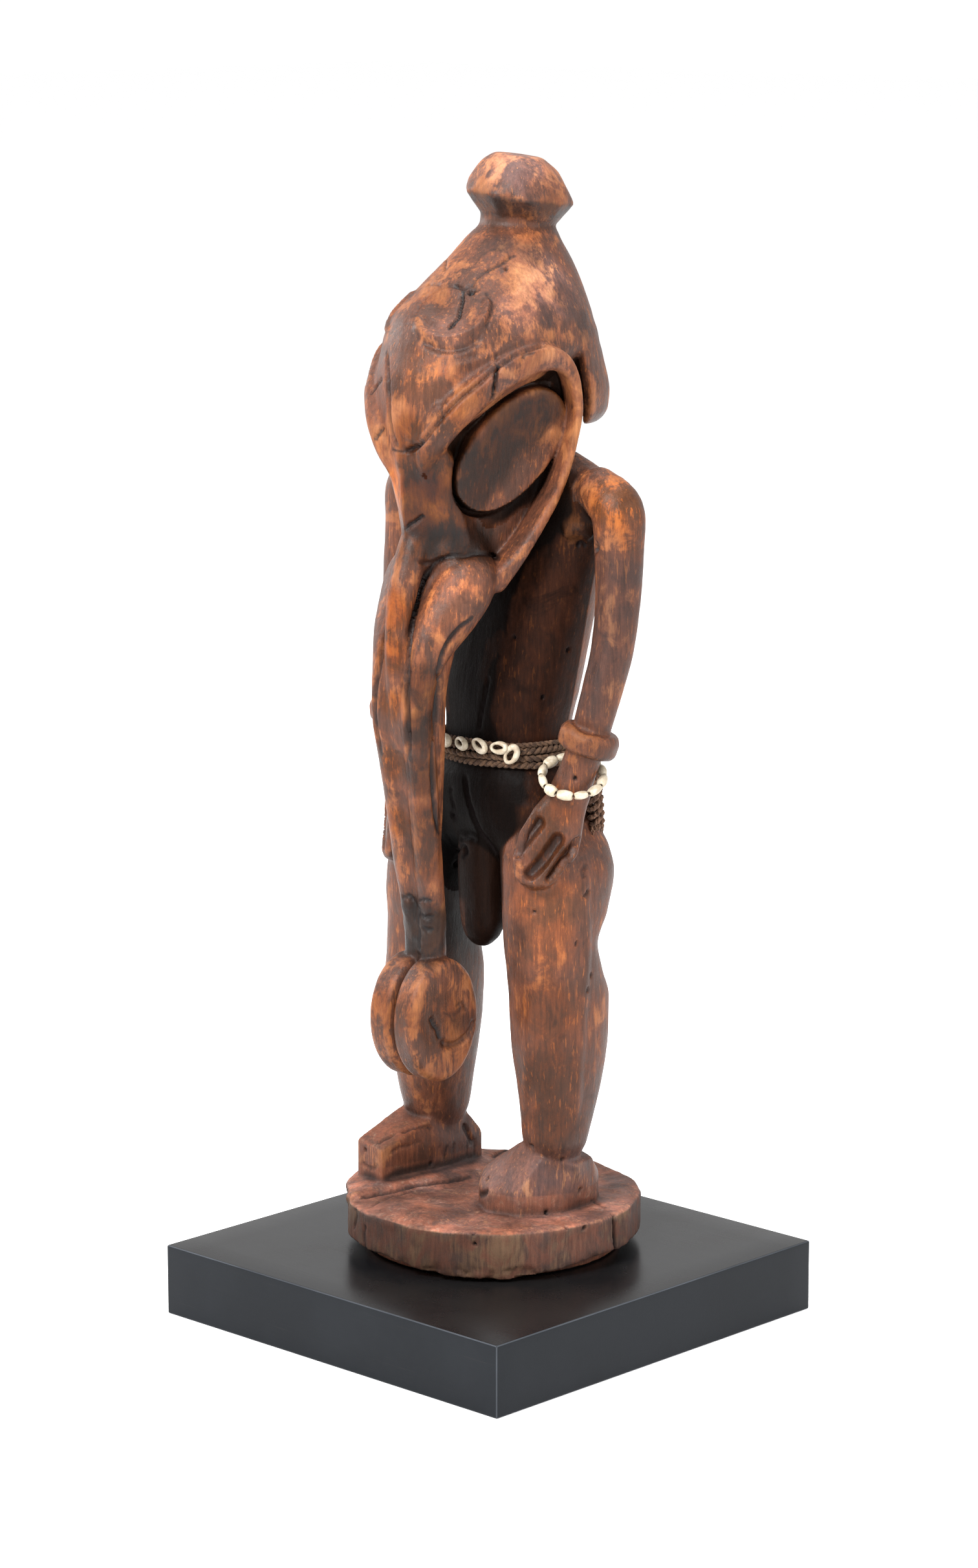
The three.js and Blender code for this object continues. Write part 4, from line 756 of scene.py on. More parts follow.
# painted shade in the hollows round the eye plates
local = side(V, 1).copy()
local[:, 0] = np.abs(local[:, 0])
rel = local - np.array([32.5, -16.5, 442.5])
Bl = basis(LOOP_N, LOOP_U)
lu, lv, ln = rel @ Bl[:, 0], rel @ Bl[:, 1], rel @ Bl[:, 2]
plate_e = np.sqrt((lu / 36.5) ** 2 + (lv / 21.5) ** 2)
inside_loop = (plate_e < 2.0) & (ln < -2.5) & (ln > -20) & (z < 492) & (local[:, 0] > 13) & (y < 6)
recess_shade = inside_loop * step(plate_e, 0.98, 1.07) * step(-ln, 2.0, 5.5)
dark_paint_and_shade = np.maximum(dark_paint_and_shade, recess_shade * np.clip(1.1 - 0.75 * step(plate_e, 1.12, 1.5) + 0.35 * n_d, 0, 1))
skirt_d = zl(V, SKIRT, 2.2)
# painted shade on the inner side of the head's skirt
behind_skirt_shade = step(z, 436, 446) * (1 - step(z, 492, 503)) * (y > 3) * step(-skirt_d, 3.5, 6.5) * (N[:, 1] > -0.2)
behind_skirt_shade = np.maximum(behind_skirt_shade, step(z, 434, 444) * (1 - step(z, 492, 500)) * step(y, 2, 8) * step(-skirt_d, 3.5, 6.5))
dark_paint_and_shade = np.maximum(dark_paint_and_shade, behind_skirt_shade * 0.92)
# painted shade on the downward faces under the jaw
under_jaw_shade = step(-N[:, 2], 0.15, 0.6) * step(z, 384, 394) * (1 - step(z, 428, 440)) * (np.abs(x) < 40) * (y < 0)
dark_paint_and_shade = np.maximum(dark_paint_and_shade, 0.75 * under_jaw_shade)
resin = crust
dark_paint_and_shade = np.maximum(dark_paint_and_shade, np.clip(resin * 1.0 + 0.5 * n_d * resin, 0, 1) * 0.42)

ochre = (z < 100) * step(N[:, 2], 0.15, 0.6) * np.clip(0.65 + 0.7 * n_a, 0, 1) * (1 - 0.75 * (x > 2) * step(z, 68, 76))
ochre = np.maximum(ochre, (z < 72) * (1 - base_side) * np.clip(0.5 + 0.5 * n_a, 0, 1))
# lighter, bare-looking wood on the forehead band, bar fronts, shoulders and discs: partly worn bare wood, partly
# painted highlight
bare_and_highlight = step(z, 425, 455) * np.clip(0.55 + 0.8 * n_b, 0, 1)
bare_and_highlight = np.maximum(bare_and_highlight, (y < -36) * (z > 195) * np.clip(0.5 + 0.8 * n_b, 0, 1))
bare_and_highlight = np.maximum(bare_and_highlight, (z > 395) * (np.abs(x) > 45) * 0.5)
bare_and_highlight = np.maximum(bare_and_highlight, (z < 196) * (y < -22) * (z > 130) * 0.6)
tone = np.stack([np.clip(0.5 + 0.5 * wear, 0, 1), np.clip(hollow_dirt_and_shade, 0, 1), np.clip(dark_paint_and_shade, 0, 1), np.clip(ochre, 0, 1)], 1)
sum_g, sum_w, total = np.zeros(len(V)), np.zeros(len(V)), np.zeros(len(V)) + 1e-6
for px, py, pz, pr_, pg, pw in PAINT:
    r_ = np.sqrt((x - px) ** 2 + (y - py) ** 2 + (z - pz) ** 2)
    w_ = 1 - step(r_ * (1 + 0.22 * n_d + 0.1 * n_a), 0.45 * pr_, 1.25 * pr_)
    sum_g, sum_w, total = sum_g + w_ * math.log(pg), sum_w + w_ * (pw if pw > 0.15 else pw - 0.4), total + w_
sum_g, sum_w = sum_g / np.maximum(total, 1), sum_w / np.maximum(total, 1)
# the whole torso darker: partly its dark patina, partly painted shade under the head
sum_g = sum_g + np.log(1 - 0.78 * on_trunk * (1 - step(z, 410, 426)))
sum_w = sum_w + 0.75 * limb * (1 - step(-z, -104, -92))
# painted light and shade on the nose: the near plane darker and redder, the far plane lighter
nose_planes_lit_and_shaded = step(z, 398, 404) * (1 - step(z, 438, 450)) * (y < -36) * step(plate_e, 1.0, 1.12)
sum_g = sum_g + nose_planes_lit_and_shaded * (math.log(0.46) * step(x, -1, 1.5) + math.log(1.35) * step(-x, 0.5, 3) * (1 - step(z, 430, 446)))
# painted shade on the rims' inner walls next to the eye plates
rim_in_shade = step(plate_e, 1.02, 1.10) * (1 - step(plate_e, 1.22, 1.42)) * step(local[:, 1], -16, -10) * step(z, 388, 394) * (1 - step(z, 462, 474)) * (1 - step(ln, 0.5, 3)) * (ln > -20)
sum_g = sum_g + math.log(0.42) * rim_in_shade
# painted shade on the mouth under the nose
lips_shade = step(z, 387, 394) * (1 - step(z, 402, 408)) * (y < -18) * (np.abs(x) < 34)
sum_g = sum_g + math.log(0.5) * lips_shade
sum_g = sum_g + math.log(0.62) + (math.log(0.36) + 0.8 * step(x, 20, 70)) * base_side + (math.log(1.3) + 0.95 * fbm(V, (13, 13, 9), 27, 3) + 0.35 * fbm(V, (3, 3, 3), 29, 2)) * base_top
# painted shade on the downward faces under the knob and a painted highlight on its upper part
sum_g = sum_g + math.log(0.45) * step(-N[:, 2], -0.05, 0.35) * step(z, 548, 553) + math.log(1.15) * step(z, 562, 568)
# painted shade on the far leg's inner side and between the legs
sum_g = sum_g + math.log(0.35) * step(z, 150, 200) * (1 - step(z, 240, 256)) * (x < -8) * step(N[:, 0], 0.15, 0.6) * (y > -34)
sum_g = sum_g + math.log(0.16) * step(z, 172, 196) * (1 - step(z, 240, 256)) * (x < -9) * step(x, -40, -31) * (y > -38)
sum_g = sum_g + math.log(0.34) * np.clip(1.5 * resin * (1 + 0.5 * n_d), 0, 1)
# every downward face of the figure darker: painted shade
sum_g = sum_g + math.log(0.7) * step(-N[:, 2], 0.2, 0.8) * limb
gain_ = np.exp(sum_g)
sum_w = sum_w - 0.5 * base_side * step(x, 20, 70)
sum_w = sum_w + 1.3 * nose_planes_lit_and_shaded * step(x, -3, 1.5) + 0.9 * lips_shade * (1 - nose_planes_lit_and_shaded)
sum_w = sum_w + (0.8 * fbm(V, (16, 16, 9), 33, 3) - 0.45) * base_top
paint = np.stack([gain_ * (1 + 0.06 * sum_w), gain_ * np.clip(1 - 0.11 * sum_w, 0.4, 2), gain_ * np.clip(1 - 0.35 * sum_w, 0.15, 2), np.ones(len(V))], 1)
tone2 = np.stack([base_side, np.clip(bare_and_highlight, 0, 1), np.clip(dark_marks_and_groove_shade, 0, 1), np.clip(0.5 + 0.5 * n_c, 0, 1)], 1)


# ------------------------------------------------------------------ node helpers
class Mat:
    def __init__(self, name):
        self.m = bpy.data.materials.new(name)
        self.m.use_nodes = True
        self.t = self.m.node_tree
        self.b = self.t.nodes["Principled BSDF"]

    def node(self, kind, **kw):
        n = self.t.nodes.new(kind)
        for k, v in kw.items():
            setattr(n, k, v)
        return n

    def put(self, socket, v):
        if hasattr(v, "is_output"):
            self.t.links.new(v, socket)
        elif isinstance(v, (tuple, list)) and len(v) == 3 and socket.type == "RGBA":
            socket.default_value = (*v, 1)
        else:
            socket.default_value = v

    def math(self, op, a, b=0.0, clamp=False):
        n = self.node("ShaderNodeMath", operation=op, use_clamp=clamp)
        self.put(n.inputs[0], a)
        self.put(n.inputs[1], b)
        return n.outputs[0]

    def mix(self, a, b, f, blend="MIX"):
        n = self.node("ShaderNodeMix", data_type="RGBA", blend_type=blend)
        self.put(n.inputs[0], f)
        self.put(n.inputs[6], a)
        self.put(n.inputs[7], b)
        return n.outputs[2]

    def ramp(self, f, *stops):
        n = self.node("ShaderNodeMapRange", interpolation_type="SMOOTHSTEP")
        self.put(n.inputs[0], f)
        for i, v in enumerate(stops):
            n.inputs[1 + i].default_value = v
        return n.outputs[0]

    def coords(self, scale=(1, 1, 1), turn=(0, 0, 0)):
        if not hasattr(self, "tc"):
            self.tc = self.node("ShaderNodeTexCoord")
        n = self.node("ShaderNodeMapping")
        n.inputs["Scale"].default_value = scale
        n.inputs["Rotation"].default_value = turn
        self.t.links.new(self.tc.outputs["Object"], n.inputs["Vector"])
        return n.outputs[0]

    def noise(self, scale, detail=5, rough=0.6, vec=None, dist=0.0):
        n = self.node("ShaderNodeTexNoise")
        n.inputs["Scale"].default_value = scale
        n.inputs["Detail"].default_value = detail
        n.inputs["Roughness"].default_value = rough
        n.inputs["Distortion"].default_value = dist
        self.t.links.new(vec or self.coords(), n.inputs["Vector"])
        return n.outputs["Fac"]

    def attr(self, name):
        a = self.node("ShaderNodeAttribute", attribute_name=name)
        s = self.node("ShaderNodeSeparateColor")
        self.t.links.new(a.outputs["Color"], s.inputs[0])
        return s.outputs[0], s.outputs[1], s.outputs[2], a.outputs["Alpha"]

    def bump(self, height, strength, distance, prev=None):
        n = self.node("ShaderNodeBump")
        n.inputs["Strength"].default_value = strength
        n.inputs["Distance"].default_value = distance
        self.put(n.inputs["Height"], height)
        if prev is not None:
            self.t.links.new(prev, n.inputs["Normal"])
        return n.outputs[0]


def wood_material(name, gloss):
    m = Mat(name)
    tint = m.node("ShaderNodeAttribute", attribute_name="paint").outputs["Color"]
    wear_, hollow_dirt_and_shade_, dark_paint_and_shade_, ochre_ = m.attr("tone")
    base_, bare_and_highlight_, dark_marks_and_groove_shade_, blot_ = m.attr("tone2")
    big = m.noise(34, 6, 0.62, dist=0.6)
    mid = m.noise(88, 7, 0.62, m.coords((1, 1, 0.72)), 0.8)
    streak = m.noise(1, 5, 0.62, m.coords((620, 620, 75)), 0.3)
    fine = m.noise(900, 4, 0.7)
    grit = m.noise(2300, 3, 0.6)
    # dark polished skin against bare red-brown wood
    f = m.math("ADD", m.math("MULTIPLY", big, 0.55), m.math("MULTIPLY", mid, 0.45))
    f = m.math("ADD", f, m.math("MULTIPLY", m.math("SUBTRACT", streak, 0.5), 0.20))
    f = m.math("ADD", f, m.math("MULTIPLY", m.math("SUBTRACT", fine, 0.5), 0.10))
    skin = m.mix((0.086, 0.039, 0.029), (0.160, 0.058, 0.034), m.ramp(f, 0.40, 0.60, 0.0, 1.0))
    bare = m.mix((0.215, 0.075, 0.038), (0.33, 0.135, 0.062), m.ramp(mid, 0.4, 0.66, 0.0, 1.0))
    expose = m.math("ADD", m.math("MULTIPLY", m.math("SUBTRACT", wear_, 0.5), 1.1), m.math("MULTIPLY", bare_and_highlight_, 0.55))
    expose = m.math("ADD", expose, m.math("MULTIPLY", m.math("SUBTRACT", f, 0.5), 3.0))
    expose = m.math("ADD", expose, m.math("MULTIPLY", m.math("SUBTRACT", blot_, 0.5), 0.75))
    c = m.mix(skin, bare, m.ramp(expose, 0.22, 0.54, 0.0, 1.0))
    nick = m.noise(1, 4, 0.55, m.coords((780, 780, 120)), 0.2)
    c = m.mix(c, (0.36, 0.130, 0.048), m.ramp(m.math("ADD", nick, m.math("MULTIPLY", m.math("SUBTRACT", mid, 0.5), 0.35)), 0.60, 0.67, 0.0, 0.65))
    # bright orange: partly worn bare wood, partly painted highlight
    gold_highlight_and_wear = m.math("MULTIPLY", m.ramp(expose, 0.55, 1.15, 0.0, 0.75), bare_and_highlight_)
    c = m.mix(c, (0.46, 0.205, 0.085), gold_highlight_and_wear)
    # dark stains
    c = m.mix(c, (0.042, 0.018, 0.013), m.ramp(m.noise(52, 7, 0.62, m.coords((1, 1.1, 0.8), (0.3, 0.2, 0.5)), 0.9), 0.56, 0.72, 0.0, 0.78))
    earth = m.mix((0.25, 0.082, 0.044), (0.11, 0.052, 0.037), m.ramp(mid, 0.44, 0.62, 0.0, 1.0))
    earth = m.mix(earth, (0.38, 0.225, 0.150), m.ramp(m.noise(190, 6, 0.7, dist=1.0), 0.52, 0.72, 0.0, 0.65))
    c = m.mix(c, earth, m.math("MULTIPLY", ochre_, m.ramp(big, 0.3, 0.55, 0.55, 0.95)))
    side_c = m.mix((0.120, 0.060, 0.042), (0.24, 0.125, 0.066), m.ramp(m.math("ADD", m.math("MULTIPLY", streak, 0.28), m.math("MULTIPLY", big, 0.72)), 0.43, 0.58, 0.0, 1.0))
    side_c = m.mix(side_c, (0.22, 0.078, 0.045), m.ramp(mid, 0.42, 0.62, 0.0, 0.85))
    c = m.mix(c, side_c, base_)
    # near-black: the torso's dark paint together with painted shade in the groin, between the legs, in the eye hollows,
    # behind the skirt and under the jaw
    c = m.mix(c, (0.0145, 0.0076, 0.0062), m.math("MULTIPLY", m.ramp(m.math("ADD", dark_paint_and_shade_, m.math("MULTIPLY", m.math("SUBTRACT", f, 0.5), 0.9)), 0.32, 0.72, 0.0, 0.97), m.ramp(dark_paint_and_shade_, 0.02, 0.3, 0.0, 1.0)))
    # hollows darkened: partly dirt, partly painted shade
    c = m.mix(c, (0.020, 0.010, 0.008), m.ramp(hollow_dirt_and_shade_, 0.12, 0.85, 0.0, 0.9))
    grain_c = m.math("ADD", m.ramp(streak, 0.27, 0.73, 0.76, 1.15), m.math("MULTIPLY", m.math("SUBTRACT", grit, 0.5), 0.40))
    gc = m.node("ShaderNodeCombineColor")
    for i in range(3):
        m.t.links.new(grain_c, gc.inputs[i])
    c = m.mix(c, gc.outputs[0], 1.0, "MULTIPLY")
    c = m.mix(c, tint, 1.0, "MULTIPLY")
    # cracks, grooves and holes darkened: partly dirt, partly painted shade; the resin specks are the crust's own colour
    c = m.mix(c, (0.006, 0.004, 0.004), dark_marks_and_groove_shade_)
    m.put(m.b.inputs["Base Color"], c)
    rough = m.math("ADD", m.ramp(f, 0.35, 0.65, 0.40, 0.56), m.math("MULTIPLY", m.math("SUBTRACT", fine, 0.5), 0.25))
    rough = m.math("ADD", rough, m.math("MULTIPLY", m.math("MAXIMUM", ochre_, base_), 0.30), True)
    m.put(m.b.inputs["Roughness"], rough)
    m.b.inputs["Specular IOR Level"].default_value = gloss
    nb = m.bump(streak, 0.35, 0.0007)
    nb = m.bump(fine, 0.35, 0.0005, nb)
    nb = m.bump(grit, 0.25, 0.0002, nb)
    m.put(m.b.inputs["Normal"], nb)
    return m.m


def make_mesh(name, V, faces, mat, nrm=None, attrs=None, mat2=None, second=None, smooth=True):
    me = bpy.data.meshes.new(name)
    faces = np.asarray(faces, np.int32)
    k = faces.shape[1]
    me.vertices.add(len(V))
    me.vertices.foreach_set("co", (np.asarray(V, np.float32) / 1000).ravel())
    me.loops.add(faces.size)
    me.loops.foreach_set("vertex_index", faces.ravel())
    me.polygons.add(len(faces))
    me.polygons.foreach_set("loop_start", np.arange(0, faces.size, k, dtype=np.int32))
    me.update(calc_edges=True)
    me.polygons.foreach_set("use_smooth", np.full(len(faces), smooth))
    for key, val in (attrs or {}).items():
        a = me.attributes.new(key, "FLOAT_COLOR", "POINT")
        a.data.foreach_set("color", np.asarray(val, np.float32).ravel())
    if nrm is not None:
        me.normals_split_custom_set_from_vertices(nrm.astype(np.float32))
    me.materials.append(mat)
    if mat2 is not None:
        me.materials.append(mat2)
        me.polygons.foreach_set("material_index", np.asarray(second, np.int32))
    ob = bpy.data.objects.new(name, me)
    bpy.context.scene.collection.objects.link(ob)
    return ob


# a second copy of the wood with almost no gloss goes on the faces with dark paint or painted shade: a shaded copy of
# the same material
wood, wood_dark_and_shaded = wood_material("aged_wood", 0.22), wood_material("aged_wood_dark_and_shaded", 0.04)
shade = np.maximum(np.clip(dark_paint_and_shade, 0, 1), 0.9 * on_trunk * (1 - step(z, 408, 424)))
mz = V2[Q, 2].mean(1)
parts = max(1, math.ceil(2 * len(Q) / 165000))
cuts = np.quantile(mz, np.linspace(0, 1, parts + 1))
cuts[0], cuts[-1] = -1e9, 1e9
for k in range(parts):
    q = Q[(mz >= cuts[k]) & (mz < cuts[k + 1])]
    used, inv = np.unique(q.ravel(), return_inverse=True)
    ob = make_mesh(f"figure_carving_{k + 1}", V2[used], inv.reshape(-1, 4), wood, N2[used], {"tone": tone[used], "tone2": tone2[used], "paint": paint[used]}, wood_dark_and_shaded, shade[used][inv.reshape(-1, 4)].mean(1) > 0.42)
    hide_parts("carved_figure")
    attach(ob, "root")


# ------------------------------------------------------------------ cords, shells, beads
def sweep(path, radius, seg=8, closed=False, ends=True):
    """tube mesh along a path of points; radius is a number or one per point"""
    P = np.array(path, float)
    n = len(P)
    r = np.ones(n) * np.array(radius)
    T = (np.roll(P, -1, 0) - np.roll(P, 1, 0)) if closed else np.gradient(P, axis=0)
    T /= np.linalg.norm(T, axis=1)[:, None] + 1e-12
    u = np.cross(T[0], [0.31, 0.17, 0.93])
    u /= np.linalg.norm(u)
    rings = []
    for i in range(n):
        u = u - T[i] * (u @ T[i])
        u /= np.linalg.norm(u)
        w = np.cross(T[i], u)
        a = 2 * np.pi * np.arange(seg) / seg
        rings.append(P[i] + r[i] * (np.cos(a)[:, None] * u + np.sin(a)[:, None] * w))
    Vt = np.concatenate(rings)
    f = []
    for i in range(n if closed else n - 1):
        j = (i + 1) % n
        for k in range(seg):
            a, b = i * seg + k, i * seg + (k + 1) % seg
            f.append((a, b, j * seg + (k + 1) % seg, j * seg + k))
    if not closed and ends:
        for i, flip in ((0, True), (n - 1, False)):
            c = len(Vt)
            Vt = np.vstack([Vt, P[i] + (T[i] * r[i] * (0.6 if not flip else -0.6))])
            for k in range(seg):
                a, b = i * seg + k, i * seg + (k + 1) % seg
                f.append((b, a, c, c) if flip else (a, b, c, c))
    return Vt, f


class Build:
    def __init__(self):
        self.v, self.f, self.n = [], [], 0

    def add(self, v, f):
        self.v.append(v)
        self.f += [tuple(i + self.n for i in q) for q in f]
        self.n += len(v)

    def make(self, name, mat, smooth=True):
        me = bpy.data.meshes.new(name)
        faces = [q if q[2] != q[3] else q[:3] for q in self.f]
        me.from_pydata((np.concatenate(self.v) / 1000).tolist(), [], faces)
        me.update()
        me.polygons.foreach_set("use_smooth", np.full(len(faces), smooth))
        me.materials.append(mat)
        ob = bpy.data.objects.new(name, me)
        bpy.context.scene.collection.objects.link(ob)
        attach(ob, "root")
        return ob


def fibre_material(name, lo, hi):
    m = Mat(name)
    n = m.noise(420, 6, 0.7)
    strands = m.noise(1, 4, 0.6, m.coords((1500, 1500, 1500)), 1.2)
    c = m.mix(lo, hi, m.ramp(n, 0.38, 0.7, 0.0, 1.0))
    c = m.mix(c, (0.09, 0.045, 0.026), m.ramp(strands, 0.4, 0.65, 0.0, 0.6))
    m.put(m.b.inputs["Base Color"], c)
    m.b.inputs["Roughness"].default_value = 0.9
    m.b.inputs["Specular IOR Level"].default_value = 0.25
    m.put(m.b.inputs["Normal"], m.bump(strands, 0.6, 0.0006))
    return m.m


def shell_material(name, a, b, stain):
    m = Mat(name)
    n = m.noise(330, 5, 0.6, dist=0.4)
    s = m.noise(900, 4, 0.7)
    c = m.mix(a, b, m.ramp(n, 0.4, 0.65, 0.0, 1.0))
    c = m.mix(c, stain, m.ramp(s, 0.6, 0.78, 0.0, 0.7))
    m.put(m.b.inputs["Base Color"], c)
    m.put(m.b.inputs["Roughness"], m.ramp(s, 0.3, 0.7, 0.30, 0.55))
    m.put(m.b.inputs["Normal"], m.bump(n, 0.25, 0.0004))
    return m.m


def waist_point(a, z, grow):
    cx, cy, rx, ry = curve(np.array([z]), [r[0] for r in TORSO], [r[1:5] for r in TORSO])[0]
    n = 2.4
    c, s = math.cos(a), math.sin(a)
    X, Y = rx * np.sign(c) * abs(c) ** (2 / n), ry * np.sign(s) * abs(s) ** (2 / n)
    L = math.hypot(X, Y)
    return np.array([cx + X * (1 + grow / L), cy + Y * (1 + grow / L), z])


def even_ring(z, grow, count):
    P = np.array([waist_point(2 * math.pi * i / 720, z, grow) for i in range(720)])
    L = np.concatenate([[0], np.cumsum(np.linalg.norm(np.diff(np.vstack([P, P[:1]]), axis=0), axis=1))])
    t = np.linspace(0, L[-1], count, endpoint=False)
    return np.stack([np.interp(t, L, np.append(P[:, k], P[0, k])) for k in range(3)], 1), L[-1]


fibre = fibre_material("twisted_fibre", (0.022, 0.013, 0.009), (0.15, 0.085, 0.048))
belt = Build()
for row, (z0, grow, r_c, turns) in enumerate([(286.3, 1.95, 1.75, 30), (289.7, 2.05, 1.8, -29), (293.2, 2.05, 1.8, 31), (295.9, 1.75, 1.45, -34)]):
    C, _ = even_ring(z0, grow, 300)
    C[:, 2] += 0.25 * np.sin(np.arange(len(C)) / len(C) * 2 * np.pi * 5 + row)
    mid = C.mean(0)
    for st in range(2):
        ph = 2 * np.pi * (np.arange(len(C)) / len(C) * turns + st / 2)
        out = C - mid
        out[:, 2] = 0
        out /= np.linalg.norm(out, axis=1)[:, None]
        P = C + 0.46 * r_c * (np.cos(ph)[:, None] * out + np.sin(ph)[:, None] * [0, 0, 1])
        belt.add(*sweep(P, 0.62 * r_c, 7, closed=True))
ob = belt.make("belt_cords", fibre)
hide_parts("fibre_belt")

# hanging braided end of the belt at the left hip
KNOT = np.array([[46.6, 21, 287, 2.0, 0], [47.2, 24.2, 279.5, 2.7, 0], [48.2, 24.6, 270.5, 3.4, 0], [49.0, 24.6, 261.5, 3.6, 0], [50.2, 24.6, 254, 2.9, 0]])
knot = Build()
path = catmull(np.linspace(0, len(KNOT) - 1, 90), KNOT)
for st in range(3):
    ph = 2 * np.pi * (np.linspace(0, 3.1, len(path)) + st / 3)
    P = path[:, :3] + path[:, 3:4] * np.stack([0.62 * np.sin(ph), 1.05 * np.cos(ph), 0.25 * np.sin(2 * ph)], 1)
    for fi in range(3):
        p2 = 2 * np.pi * (np.linspace(0, 9, len(path)) + fi / 3)
        knot.add(*sweep(P + 0.8 * np.stack([np.cos(p2), np.sin(p2), 0 * p2], 1), 0.92, 6))
for k in range(14):
    a = 2 * np.pi * k / 14
    s0 = np.array([50.0 + 2.0 * math.cos(a), 24.6 + 3.6 * math.sin(a), 255.5])
    s1 = s0 + np.array([0.7 * math.cos(a * 3), 0.9 * math.sin(a), -3.6 - 1.2 * math.sin(5 * a)])
    knot.add(*sweep([s0, (s0 + s1) / 2 + [0.3, 0, 0], s1], [0.5, 0.45, 0.25], 5))
ob = knot.make("belt_tassel", fibre_material("hanging_cord", (0.045, 0.024, 0.017), (0.25, 0.135, 0.085)))
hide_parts("belt_knot")


def belt_face(xp, z, grow=3.8):
    n = 2.4
    cx, cy, wx, wy = curve(np.array([z]), [r[0] for r in TORSO], [r[1:5] for r in TORSO])[0]
    rx, ry = wx + grow, wy + grow
    y = cy - ry * (1 - abs((xp - cx) / rx) ** n) ** (1 / n)
    out = np.array([np.sign(xp - cx) * abs((xp - cx) / rx) ** (n - 1) / rx, -(abs((y - cy) / ry) ** (n - 1)) / ry, 0])
    return np.array([xp, y, z]), out / np.linalg.norm(out)


shells = Build()
places = [(-34, 294.8), (-24.4, 294.8), (-12.8, 295), (-1.6, 295.2), (10, 295.6), (19.9, 295.4), (25.4, 292.2)]
for k, (xp, z) in enumerate(places):
    p, out = belt_face(xp, z)
    along = np.cross([0, 0, 1], out)
    last = k == len(places) - 1
    roll = 1.1 if last else -0.12 - 0.25 * math.sin(k * 2.1)
    ax = math.cos(roll) * along + math.sin(roll) * np.array([0, 0, 1])
    up = np.cross(out, ax)
    size = 1.08 if last else 1.0 - 0.05 * (k % 2)
    nu, nv = ((40, 16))
    vs, fs = [], []
    for i in range(nu):
        a = 2 * math.pi * i / nu
        # thick at one end, thin lip at the other
        tr = 1.25 + 0.35 * math.cos(a) - 0.2 * math.sin(a) + 0.1 * math.sin(3 * a + k)
        cu, cv = (3.9 if last else 4.4) * math.cos(a), 2.35 * math.sin(a)
        for j in range(nv):
            b = 2 * math.pi * j / nv
            rr = tr * math.cos(b)
            h = 1.55 * (1 + 0.25 * math.cos(a)) * math.sin(b)
            q = np.array([cu + rr * math.cos(a), cv + rr * math.sin(a) * 0.9])
            vs.append(p + out * (1.9 + h + (0.26 if not last else 0.12) * q[0]) + size * (ax * q[0] + up * q[1]))
    for i in range(nu):
        for j in range(nv):
            fs.append((i * nv + j, ((i + 1) % nu) * nv + j, ((i + 1) % nu) * nv + (j + 1) % nv, i * nv + (j + 1) % nv))
    shells.add(np.array(vs), fs)
ob = shells.make("belt_shells", shell_material("old_shell", (0.34, 0.27, 0.19), (0.48, 0.42, 0.32), (0.11, 0.062, 0.038)))
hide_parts(*[f"belt_shell_{i}" for i in range(1, 8)])

beads, string = Build(), Build()
t = math.radians(29)
r_ax, f_ax = np.array([0.7228, 0.691, 0]), np.array([0.691, -0.7228, 0])
down = f_ax * math.cos(t) + np.array([0, 0, -math.sin(t)])
C0 = np.array([58.1, -2.1, 284.5])
for k in range(12):
    a = 2 * math.pi * (k + 0.5) / 12
    c = C0 + 14.9 * (r_ax * math.cos(a) + down * math.sin(a))
    d = -r_ax * math.sin(a) + down * math.cos(a)
    e1 = np.cross(d, [0.2, 0.1, 0.97])
    e1 /= np.linalg.norm(e1)
    e2 = np.cross(d, e1)
    L = 3.6 + 0.3 * math.sin(k * 2.7)
    R = 2.35 + 0.25 * math.sin(k * 1.9 + 1)
    prof = [(0.55, -0.80), (0.62, -0.97), (1.5 / 2.8, -1.0), (0.74, -0.9), (0.88, -0.65), (0.97, -0.3), (1.0, 0.05), (0.95, 0.4), (0.84, 0.7), (0.70, 0.92), (0.52, 1.0), (0.36, 0.97), (0.34, 0.6), (0.34, -0.6), (0.36, -0.95)]
    prof = prof[2:]
    seg = 20
    vs, fs = [], []
    for i in range(seg):
        b = 2 * math.pi * i / seg
        w = 1 + 0.10 * math.sin(2 * b + k) + 0.05 * math.sin(3 * b + 2 * k)
        for (rr, hh) in prof:
            vs.append(c + d * (hh * L) + R * rr * w * (math.cos(b) * e1 + math.sin(b) * e2))
    m_ = len(prof)
    for i in range(seg):
        for j in range(m_):
            fs.append((i * m_ + j, i * m_ + (j + 1) % m_, ((i + 1) % seg) * m_ + (j + 1) % m_, ((i + 1) % seg) * m_ + j))
    beads.add(np.array(vs), fs)
ob = beads.make("bracelet_beads", shell_material("shell_beads", (0.36, 0.295, 0.205), (0.50, 0.44, 0.345), (0.13, 0.078, 0.045)))
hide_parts(*[f"bracelet_bead_{i:02d}" for i in range(1, 13)])
ring = [C0 + 14.9 * (r_ax * math.cos(a) + down * math.sin(a)) for a in np.linspace(0, 2 * math.pi, 72, endpoint=False)]
string.add(*sweep(ring, 0.55, 6, closed=True))
ob = string.make("bracelet_string", fibre)


